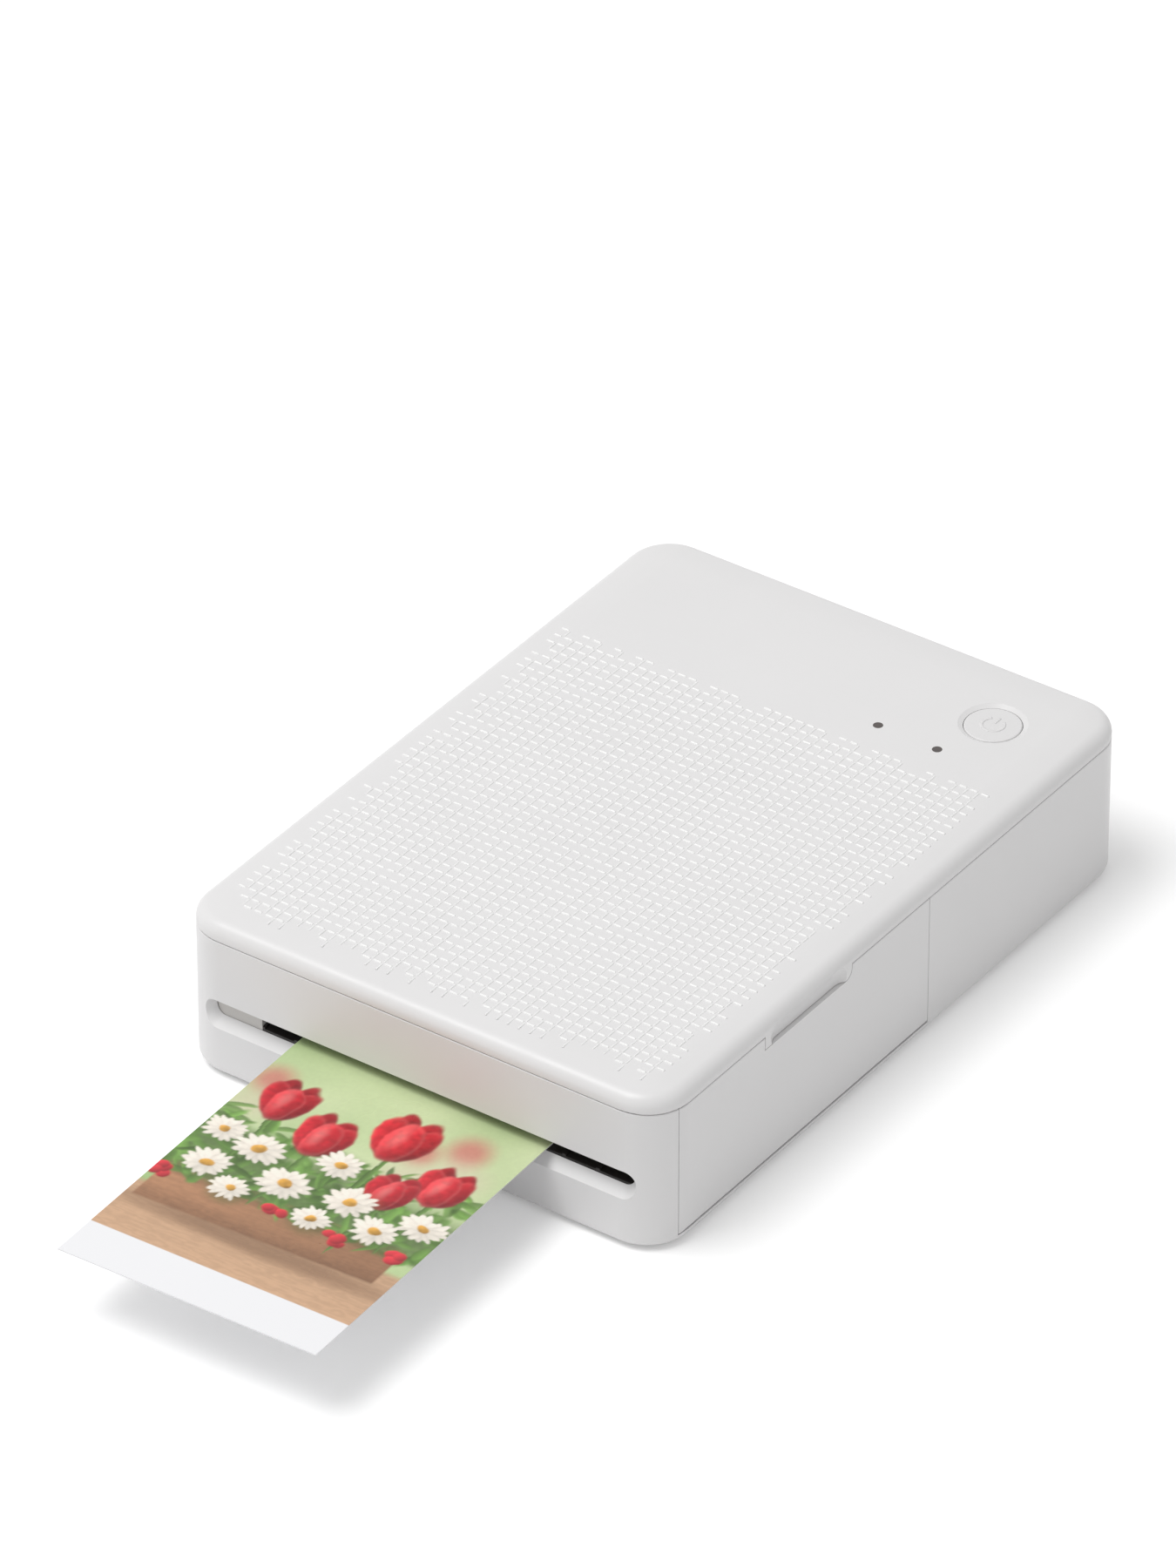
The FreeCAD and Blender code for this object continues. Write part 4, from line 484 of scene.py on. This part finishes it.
# Height of the cover's crowned top at a place, in millimetres
def cover_height(x, y):
    lean = 2 * math.atan(CROWN_RISE / (CROWN_INSET - EDGE_RADIUS))
    flat_x = HALF_WIDTH - CORNER
    flat_y = HALF_DEPTH - CORNER
    over_x = max(abs(x) - flat_x, 0.0)
    over_y = max(abs(y) - flat_y, 0.0)
    inset = CORNER - math.hypot(over_x, over_y)
    if over_x == 0 and over_y == 0:
        inset = min(HALF_WIDTH - abs(x), HALF_DEPTH - abs(y))
    if inset >= CROWN_INSET:
        return TOP
    shoulder = CROWN_INSET - EDGE_RADIUS * (1 - math.sin(lean))
    radius = shoulder / math.sin(lean)
    reach = CROWN_INSET - inset
    return TOP - (radius - math.sqrt(radius * radius - reach * reach))


# Field of fine raised bars: a dash along X in every cell and a link along Y between the cells.
# Lengths are in millimetres, a reach is how far a bar goes to its front and its back, rows and
# columns are the first and last of their kind, and the gaps are shares of the bars left out.
PITCH = 2.31
BAR_HEIGHT = 0.18
SINK = 0.04
FIRST_DASH = (0.75, -10.3)
ROWS = (-24, 20)
COLUMNS = (-20, 19)
DASH_LENGTH = 1.62
DASH_REACH = (0.19, 0.31)
LINK_LENGTH = 1.95
LINK_REACH = (0.13, 0.24)
LINK_SHIFT = 0.48
BORDER_GAPS = 0.35
LINK_GAPS = 0.12
RING = 8


# One bar of three rings of eight points and two caps, steep in front and sloped behind
def bar(vertices, faces, x, y, length, reach, height, along_x):
    base = cover_height(x, y)
    start = len(vertices)
    half = length * 0.5
    front, back = reach
    rings = (
        (-SINK, half, front + 0.05, back + 0.05),
        (height * 0.55, half - 0.06, front, back * 0.72),
        (height, half - 0.18, front * 0.55, back * 0.20),
    )
    for z, end, low, high in rings:
        for along, across in (
            (-1.0, -low * 0.6), (-0.86, -low), (0.86, -low), (1.0, -low * 0.6),
            (1.0, high * 0.6), (0.86, high), (-0.86, high), (-1.0, high * 0.6),
        ):
            dx, dy = (along * end, across) if along_x else (-across, along * end)
            vertices.append(((x + dx) * MM, (y + dy) * MM, (base + z) * MM))
    for low in (start, start + RING):
        for i in range(RING):
            j = (i + 1) % RING
            faces.append((low + i, low + j, low + RING + j, low + RING + i))
    faces.append(tuple(start + 2 * RING + i for i in range(RING)))
    faces.append(tuple(start + RING - 1 - i for i in range(RING)))


# A dash's sloped back and underside keep the cover's tone, while its front, ends and top carry a
# paler painted highlight; a link's upper half carries a fainter painted highlight, a tone between
def make_relief():
    vertices, faces, kinds = [], [], []
    back_faces = {4, 5, 6, 12, 13, 14, 17}
    dash_highlight_kinds = [0 if i in back_faces else 1 for i in range(2 * RING + 2)]
    link_highlight_kinds = [0] * RING + [2] * (RING + 1) + [0]
    for row in range(ROWS[0], ROWS[1] + 1):
        for column in range(COLUMNS[0], COLUMNS[1] + 1):
            x = FIRST_DASH[0] + column * PITCH
            y = FIRST_DASH[1] + row * PITCH
            if (row in ROWS or column in COLUMNS) and random.random() < BORDER_GAPS:
                continue
            jitter = random.uniform(-0.03, 0.03)
            height = BAR_HEIGHT * random.uniform(0.85, 1.12)
            length = DASH_LENGTH + random.uniform(-0.12, 0.12)
            bar(vertices, faces, x + jitter, y, length, DASH_REACH, height, True)
            kinds += dash_highlight_kinds
            if random.random() < LINK_GAPS or column == COLUMNS[1]:
                continue
            height = BAR_HEIGHT * random.uniform(0.45, 0.7)
            link_y = y - PITCH * LINK_SHIFT + jitter
            bar(vertices, faces, x + PITCH * 0.5, link_y, LINK_LENGTH, LINK_REACH, height, False)
            kinds += link_highlight_kinds
    thing = add_mesh("cover_relief", vertices, faces, materials["shell"], "printer", False)
    thing.data.materials.append(materials["dash"])
    thing.data.materials.append(materials["link"])
    thing.data.polygons.foreach_set("material_index", kinds)


# Raised mark on the button: an open ring and a short bar, in millimetres
MARK_PLACE = (33.5, 55.2, 32.6)
MARK_RADIUS = 2.05
MARK_HALF = 0.26
MARK_HEIGHT = 0.12
MARK_SINK = 0.05
MARK_GAP = math.radians(38)
MARK_STEPS = 60
STEM_START = 0.55
STEM_LENGTH = 1.75
STEM_STEPS = 8


# A raised strip of six-sided sections along points, with the sideways direction at each point
def strip(vertices, faces, points, sides):
    shoulder = MARK_HEIGHT * 0.6
    section = ((-1.0, -MARK_SINK), (-1.0, shoulder), (-0.55, MARK_HEIGHT))
    section += tuple((-share, z) for share, z in reversed(section))
    edge = len(section)
    start = len(vertices)
    z0 = MARK_PLACE[2]
    for (x, y), (nx, ny) in zip(points, sides):
        for share, z in section:
            side = MARK_HALF * share
            vertices.append(((x + nx * side) * MM, (y + ny * side) * MM, (z0 + z) * MM))
    for i in range(len(points) - 1):
        low = start + i * edge
        for j in range(edge):
            k = (j + 1) % edge
            faces.append((low + j, low + k, low + edge + k, low + edge + j))
    last = start + (len(points) - 1) * edge
    faces.append(tuple(start + j for j in reversed(range(edge))))
    faces.append(tuple(last + j for j in range(edge)))


def make_button_mark():
    x0, y0, _ = MARK_PLACE
    vertices, faces = [], []
    sweep = 2 * math.pi - 2 * MARK_GAP
    angles = [math.pi / 2 + MARK_GAP + sweep * i / MARK_STEPS for i in range(MARK_STEPS + 1)]
    outward = [(math.cos(a), math.sin(a)) for a in angles]
    ring = [(x0 + MARK_RADIUS * x, y0 + MARK_RADIUS * y) for x, y in outward]
    strip(vertices, faces, ring, outward)
    stem = [(x0, y0 + STEM_START + STEM_LENGTH * i / STEM_STEPS) for i in range(STEM_STEPS + 1)]
    strip(vertices, faces, stem, [(-1.0, 0.0)] * len(stem))
    thing = add_mesh("button_mark", vertices, faces, materials["button"], "button")
    work = bmesh.new()
    work.from_mesh(thing.data)
    bmesh.ops.recalc_face_normals(work, faces=work.faces)
    work.to_mesh(thing.data)
    work.free()


# The picture on the card, drawn from formulas: tulips and daisies in a planter before a blurred
# garden. Places and sizes are in millimetres from its top left corner, tones are linear.
PALE_TONE = (0.82, 0.88, 0.60)
DEEP_TONE = (0.42, 0.60, 0.27)
WOOD_TONE = (0.62, 0.42, 0.28)
BOX_TONE = (0.60, 0.34, 0.20)
RIM_TONE = (0.76, 0.50, 0.33)
MASS_TONE = (0.13, 0.22, 0.06)
LEAF_TONE = (0.17, 0.30, 0.08)
STEM_TONE = (0.20, 0.33, 0.10)
PETAL_TONE = (0.94, 0.88, 0.79)
HEART_TONE = (0.72, 0.42, 0.10)
BERRY_TONE = (0.66, 0.06, 0.08)
FAR_RED_TONE = (0.72, 0.22, 0.22)
FAR_CREAM_TONE = (0.80, 0.70, 0.56)
CAST_TONE = (0.26, 0.15, 0.09)
UNDER_TONE = (0.30, 0.18, 0.10)
TABLE_EDGE = 71.5
BOX_TOP = 63.5
BOX_FOOT = 75.5
BOX_SIDES = (1.2, 49.6)
CAST_SHADOW = (27.5, 76.6, 27.0, 2.4)
RIM_SHADOW = (26.0, 66.9, 26.0, 0.7)
SPOT_COUNT = 16
LEAF_COUNT = 210
PETAL_COUNTS = (15, 11)
BUD_COUNT = 5
TULIPS = (
    (8.5, 40.0, 5.0, (0.60, 0.03, 0.05)),
    (45.0, 46.0, 5.0, (0.66, 0.04, 0.06)),
    (31.5, 38.0, 5.8, (0.70, 0.04, 0.06)),
    (19.5, 45.0, 5.3, (0.64, 0.03, 0.05)),
    (38.0, 52.0, 4.6, (0.60, 0.03, 0.05)),
)
PETALS = (
    (-0.30, -0.25, -0.12, 0.55, 0.46),
    (0.34, -0.22, 0.16, 0.60, 0.46),
    (-0.46, 0.05, -0.30, 0.86, 0.50),
    (0.46, 0.08, 0.30, 0.74, 0.50),
    (0.02, 0.16, 0.03, 1.05, 0.56),
)
DAISIES = (
    (4.0, 52.0, 4.4, 0.8),
    (26.5, 50.0, 4.6, 0.82),
    (12.5, 53.5, 5.0, 0.85),
    (48.5, 57.0, 4.6, 0.8),
    (34.0, 57.5, 4.8, 0.85),
    (21.5, 59.5, 5.2, 0.86),
    (42.0, 62.0, 4.6, 0.84),
    (7.0, 61.5, 4.6, 0.84),
    (31.0, 65.0, 4.0, 0.86),
    (14.5, 65.5, 3.8, 0.84),
)
BERRIES = ((24.5, 66.0), (49.0, 66.5), (1.8, 67.5), (37.5, 68.0))
FAR_BLOOMS = ((43.0, 35.0, 3.6), (36.0, 39.5, 3.0), (3.0, 36.0, 3.4))


def smooth_step(value, low, high):
    share = np.clip((value - low) / (high - low), 0.0, 1.0)
    return share * share * (3 - 2 * share)


# Soft noise from a coarse random grid, between -1 and 1
def soft_noise(rows, columns, cell):
    tall, wide = int(rows / cell) + 3, int(columns / cell) + 3
    grid = rng.uniform(-1.0, 1.0, (tall, wide))
    y, x = np.arange(rows) / cell, np.arange(columns) / cell
    j, i = y.astype(int), x.astype(int)
    fy, fx = smooth_step(y - j, 0.0, 1.0)[:, None], smooth_step(x - i, 0.0, 1.0)[None, :]
    low = grid[np.ix_(j, i)] * (1 - fx) + grid[np.ix_(j, i + 1)] * fx
    high = grid[np.ix_(j + 1, i)] * (1 - fx) + grid[np.ix_(j + 1, i + 1)] * fx
    return low * (1 - fy) + high * fy


def blob(place, x, y, rx, ry, turn=0.0, soft=0.12):
    u, v = place
    c, s = math.cos(turn), math.sin(turn)
    a = ((u - x) * c + (v - y) * s) / rx
    b = (-(u - x) * s + (v - y) * c) / ry
    distance = np.sqrt(a * a + b * b)
    return 1.0 - smooth_step(distance, 1.0 - soft, 1.0 + soft), a, b


def paint(picture, mask, colour, shade=1.0):
    tone = np.array(colour)[None, None, :] * (np.ones(picture.shape[:2]) * shade)[..., None]
    picture[:] = picture * (1 - mask[..., None]) + tone * mask[..., None]


def tulip(picture, place, grain, x, y, size, colour, soft=0.10):
    stem, a, _ = blob(place, x + 0.12 * size, y + 2.4 * size, 0.10 * size, 1.9 * size, 0.03, soft)
    paint(picture, stem, STEM_TONE, 0.95 + 0.35 * a)
    for dx, dy, turn, tone, wide in PETALS:
        petal, a, b = blob(place, x + dx * size, y + dy * size, wide * size, size, turn, soft)
        veins = 1.0 + 0.16 * grain
        glow = np.clip(1.05 - 0.42 * a - 0.20 * b - 0.35 * np.maximum(b, 0.0) ** 2, 0.2, 1.6)
        paint(picture, petal, colour, tone * glow * veins)
        edge = petal * smooth_step(np.sqrt(a * a + b * b), 0.72, 1.0) * 0.16
        paint(picture, edge, (0.92, 0.46, 0.42), tone)
    shine, _, _ = blob(place, x - 0.18 * size, y - 0.05 * size, 0.20 * size, 0.55 * size, 0.1, 0.9)
    paint(picture, shine * 0.30, (1.0, 0.62, 0.56))


def daisy(picture, place, grain, x, y, size, tilt, soft=0.16):
    shadow, _, _ = blob(place, x + 0.5, y + 1.0, size * 1.02, size * tilt * 1.05, 0.0, 0.45)
    paint(picture, shadow * 0.45, (0.10, 0.17, 0.05))
    for layer, reach in ((0, 1.0), (1, 0.82)):
        count = PETAL_COUNTS[layer]
        for i in range(count):
            angle = 2 * math.pi * (i + rng.uniform(-0.22, 0.22)) / count + layer * 0.4
            long = size * reach * rng.uniform(0.88, 1.06)
            px = x + math.cos(angle) * long * 0.55
            py = y + math.sin(angle) * long * 0.55 * tilt
            turn = math.atan2(math.sin(angle) * tilt, math.cos(angle))
            stretch = math.hypot(math.cos(angle), math.sin(angle) * tilt)
            petal, a, b = blob(place, px, py, 0.47 * long * stretch, 0.15 * size, turn, soft)
            light = 0.93 + 0.10 * math.cos(angle + 2.2) + 0.07 * layer
            shade = np.clip(light + 0.10 * a - 0.10 * b * b + 0.05 * grain, 0.5, 1.1)
            paint(picture, petal, PETAL_TONE, shade)
    heart, a, b = blob(place, x, y, 0.28 * size, 0.26 * size * tilt, 0.0, soft)
    paint(picture, heart, HEART_TONE, 1.0 - 0.28 * a - 0.30 * b + 0.22 * grain)


# Blurred garden with soft light spots and far blooms
def paint_garden(picture, flat, width):
    u, v = flat
    pale, deep = np.array(PALE_TONE), np.array(DEEP_TONE)
    across, down = (u / width)[..., None], np.clip(v / TABLE_EDGE, 0.0, 1.0)[..., None]
    share = np.clip(0.15 + 0.75 * down - 0.30 * across, 0.0, 1.0)
    picture[:] = pale * (1 - share) + deep * share
    for _ in range(SPOT_COUNT):
        x, y, reach = rng.uniform(-3, width + 3), rng.uniform(8, 52), rng.uniform(4.0, 9.0)
        spot, _, _ = blob(flat, x, y, reach, reach * rng.uniform(0.8, 1.3), 0.0, 0.9)
        tint = pale * 1.05 if rng.uniform() < 0.6 else deep * 0.85
        paint(picture, spot * rng.uniform(0.15, 0.35), tint)
    for x, y, size in FAR_BLOOMS:
        spot, _, _ = blob(flat, x, y, size, size * 1.1, 0.0, 0.7)
        paint(picture, spot * 0.75, FAR_RED_TONE)
        spot, _, _ = blob(flat, x + 1.5, y + 7.0, size * 1.6, size * 1.2, 0.0, 0.8)
        paint(picture, spot * 0.55, FAR_CREAM_TONE)


# Wooden table and the planter on it, with its rim and shadows
def paint_planter(picture, flat, width, fine):
    u, v = flat
    rows, columns = u.shape
    rings = soft_noise(rows * 5, columns, 9.0)[:rows * 5:5]
    lines = 0.5 + 0.5 * np.sin(v * 3.1 + 4.0 * rings + 0.7 * soft_noise(rows, columns, 30.0))
    table = smooth_step(v + 0.02 * u, TABLE_EDGE - 0.8, TABLE_EDGE + 1.2)
    near = 1.05 + 0.12 * (v - TABLE_EDGE) / 14.0
    paint(picture, table, WOOD_TONE, (0.92 + 0.10 * lines) * near)
    left, right = BOX_SIDES
    box = smooth_step(v, BOX_TOP, BOX_TOP + 0.7)
    box *= 1 - smooth_step(v + 0.03 * u, BOX_FOOT, BOX_FOOT + 0.8)
    box *= smooth_step(u, left, left + 0.5) * (1 - smooth_step(u, right, right + 0.5))
    cast, _, _ = blob(flat, *CAST_SHADOW, 0.0, 0.6)
    paint(picture, cast * 0.6, CAST_TONE)
    clay = 0.80 + 0.06 * lines + 0.10 * fine * 0.4 - 0.30 * smooth_step(v, 70.0, 77.0)
    paint(picture, box, BOX_TONE, clay * (1.12 - 0.35 * u / width))
    rim = box * (1 - smooth_step(v, BOX_TOP + 2.1, BOX_TOP + 2.7))
    paint(picture, rim, RIM_TONE, 1.0 - 0.12 * u / width + 0.04 * fine)
    under, _, _ = blob(flat, *RIM_SHADOW, 0.0, 0.5)
    paint(picture, box * under * 0.45, UNDER_TONE)


# Leaves behind the flowers: a dark mass, then single leaves
def paint_leaves(picture, place, flat, width, fine):
    _, v = flat
    rows, columns = v.shape
    mass = smooth_step(v + 2.5 * soft_noise(rows, columns, 26.0), 47.0, 56.0)
    mass *= 1 - smooth_step(v + 1.2 * soft_noise(rows, columns, 14.0), 65.0, 67.0)
    paint(picture, mass * 0.80, MASS_TONE, 1.0 + 0.25 * fine)
    for _ in range(LEAF_COUNT):
        x, y = rng.uniform(-1, width + 1), rng.uniform(45, 66.5)
        long, wide, turn = rng.uniform(1.6, 3.6), rng.uniform(0.5, 1.1), rng.uniform(-2.0, 1.2)
        leaf, _, b = blob(place, x, y, long, wide, turn, 0.3)
        green = np.array(LEAF_TONE) * rng.uniform(0.6, 1.7)
        paint(picture, leaf * 0.85, green, 1.0 + 0.30 * b)


def paint_berries(picture, place):
    for x, y in BERRIES:
        for _ in range(BUD_COUNT):
            bud_x, bud_y = x + rng.uniform(-1.6, 1.6), y + rng.uniform(-1.2, 1.2)
            bud, a, b = blob(place, bud_x, bud_y, 1.25, 1.15, 0.0, 0.2)
            paint(picture, bud, BERRY_TONE, np.clip(1.0 - 0.35 * a - 0.35 * b, 0.3, 1.6))


def make_picture(width, length, step):
    columns = int(round(width / step))
    rows = int(round(length / step))
    flat = np.meshgrid((np.arange(columns) + 0.5) * step, (np.arange(rows) + 0.5) * step)
    fine = soft_noise(rows, columns, 3.2)
    place = [
        axis + 0.34 * soft_noise(rows, columns, 11.0) + 0.12 * soft_noise(rows, columns, 5.0)
        for axis in flat
    ]
    picture = np.zeros((rows, columns, 3))
    paint_garden(picture, flat, width)
    paint_planter(picture, flat, width, fine)
    paint_leaves(picture, place, flat, width, fine)
    for x, y, size, colour in TULIPS:
        tulip(picture, place, fine, x, y, size, colour)
    for x, y, size, tilt in DAISIES:
        daisy(picture, place, fine, x, y, size, tilt)
    paint_berries(picture, place)
    picture *= 1.0 + 0.02 * soft_noise(rows, columns, 2.0)[..., None]
    return np.clip(picture, 0.0, 1.0) ** 1.18 * 0.97


# The print: a thin sheet that stands a little askew in the slot, in millimetres. It turns about the
# slot's mouth, and the picture starts behind the plain strip at its front edge.
CARD = {
    "middle": 0.6,
    "width": 53.0,
    "front": -142.3,
    "back": -36.3,
    "low": 13.8,
    "high": 14.05,
    "skew": math.radians(1.6),
    "turn_y": -72.9,
    "strip": 9.8,
    "picture": 86.0,
}
CARD_STEP = 0.25
CARD_WHITE = linear(244, 244, 246)


# A fine grid on top, whose points carry the picture's colours, with edges and one face below
def card_geometry():
    half = CARD["width"] * 0.5
    columns = int(CARD["width"] / CARD_STEP)
    rows = int((CARD["back"] - CARD["front"]) / CARD_STEP)
    xs = CARD["middle"] - half + np.arange(columns + 1) * CARD_STEP
    ys = CARD["front"] + np.arange(rows + 1) * CARD_STEP
    c, s = math.cos(CARD["skew"]), math.sin(CARD["skew"])

    def turned(x, y, z):
        dx, dy = x - CARD["middle"], y - CARD["turn_y"]
        x, y = CARD["middle"] + dx * c - dy * s, CARD["turn_y"] + dx * s + dy * c
        return (x * MM, y * MM, z * MM)

    vertices = [turned(x, y, CARD["high"]) for y in ys for x in xs]
    wide = columns + 1
    faces = []
    for j in range(rows):
        for i in range(columns):
            a = j * wide + i
            faces.append((a, a + 1, a + wide + 1, a + wide))
    edge = list(range(wide))
    edge += [j * wide + columns for j in range(1, rows + 1)]
    edge += [rows * wide + i for i in range(columns - 1, -1, -1)]
    edge += [j * wide for j in range(rows - 1, 0, -1)]
    low_start = len(vertices)
    for index in edge:
        x, y, _ = vertices[index]
        vertices.append((x, y, CARD["low"] * MM))
    count = len(edge)
    for i in range(count):
        j = (i + 1) % count
        faces.append((edge[j], edge[i], low_start + i, low_start + j))
    faces.append(tuple(low_start + i for i in range(count - 1, -1, -1)))
    return vertices, faces, rows, columns


def card_material():
    made = Material("card_print")
    layer = made.node("ShaderNodeVertexColor", layer_name="print")
    made.set("Base Color", layer.outputs["Color"])
    made.set("Roughness", made.spread(made.noise(70.0, 3.0, 0.5), 0.26, 0.34))
    made.set("Specular IOR Level", 0.4)
    made.set("Normal", made.bump(made.noise(1800.0, 2.0, 0.5), 0.05, 0.00002))
    return made.material


def make_card():
    vertices, faces, rows, columns = card_geometry()
    thing = add_mesh("card_sheet", vertices, faces, card_material(), "print", False)
    picture = make_picture(CARD["width"], CARD["picture"], CARD_STEP)
    colours = np.ones((len(vertices), 4), np.float32)
    colours[:, :3] = CARD_WHITE
    grid = colours[:(rows + 1) * (columns + 1)].reshape(rows + 1, columns + 1, 4)
    first = int(CARD["strip"] / CARD_STEP)
    last = min(first + len(picture), rows + 1)
    painted = picture[::-1][:last - first]
    grid[first:last, :columns, :3] = painted
    grid[first:last, columns:, :3] = painted[:, -1:]
    layer = thing.data.color_attributes.new("print", "FLOAT_COLOR", "POINT")
    layer.data.foreach_set("color", colours.ravel())
    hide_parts("photo_print")


# Camera, glossy and transmission rays, which see the backdrop white
def seen_rays(tree):
    path = tree.nodes.new("ShaderNodeLightPath")
    total = path.outputs["Is Camera Ray"]
    for ray in ("Is Glossy Ray", "Is Transmission Ray"):
        both = tree.nodes.new("ShaderNodeMath")
        tree.links.new(total, both.inputs[0])
        tree.links.new(path.outputs[ray], both.inputs[1])
        total = both.outputs[0]
    return total


def make_floor():
    made = Material("floor_paper")
    made.set("Base Color", (FLOOR_TONE,) * 3)
    made.set("Roughness", 0.9)
    lift = made.node("ShaderNodeMath", operation="MULTIPLY")
    lift.inputs[1].default_value = FLOOR_LIFT
    made.link(seen_rays(made.tree), lift.inputs[0])
    glow = made.node("ShaderNodeEmission")
    made.link(lift.outputs[0], glow.inputs["Strength"])
    both = made.node("ShaderNodeAddShader")
    made.link(made.shader.outputs[0], both.inputs[0])
    made.link(glow.outputs[0], both.inputs[1])
    made.link(both.outputs[0], made.tree.nodes["Material Output"].inputs["Surface"])
    mesh = bpy.data.meshes.new("floor")
    signs = ((-1, -1), (1, -1), (1, 1), (-1, 1))
    corners = [(x * FLOOR_REACH, y * FLOOR_REACH, 0) for x, y in signs]
    mesh.from_pydata(corners, [], [(0, 1, 2, 3)])
    floor = bpy.data.objects.new("floor", mesh)
    bpy.context.scene.collection.objects.link(floor)
    floor.data.materials.append(made.material)


def make_world():
    world = bpy.data.worlds.new("studio")
    bpy.context.scene.world = world
    world.use_nodes = True
    tree = world.node_tree
    background = tree.nodes["Background"]
    background.inputs["Color"].default_value = (1.0, 1.0, 1.0, 1.0)
    level = tree.nodes.new("ShaderNodeMapRange")
    level.inputs["To Min"].default_value = WORLD_LEVEL
    level.inputs["To Max"].default_value = 1.0
    tree.links.new(seen_rays(tree), level.inputs["Value"])
    tree.links.new(level.outputs["Result"], background.inputs["Strength"])


def make_key_light():
    data = bpy.data.lights.new("key", "AREA")
    data.shape = "RECTANGLE"
    data.size, data.size_y = KEY_SIZE
    data.energy = KEY_POWER
    light = bpy.data.objects.new("key", data)
    light.location = KEY_PLACE
    light.rotation_mode = "QUATERNION"
    light.rotation_quaternion = (-Vector(KEY_PLACE)).to_track_quat("-Z", "Y")
    bpy.context.scene.collection.objects.link(light)


make_camera()
make_floor()
make_world()
make_key_light()
make_relief()
make_button_mark()
make_card()
make_spring_coils("head_springs", "printer")
make_spring_coils("lift_springs", "paper_cover")
bpy.context.scene.view_settings.view_transform = "Standard"
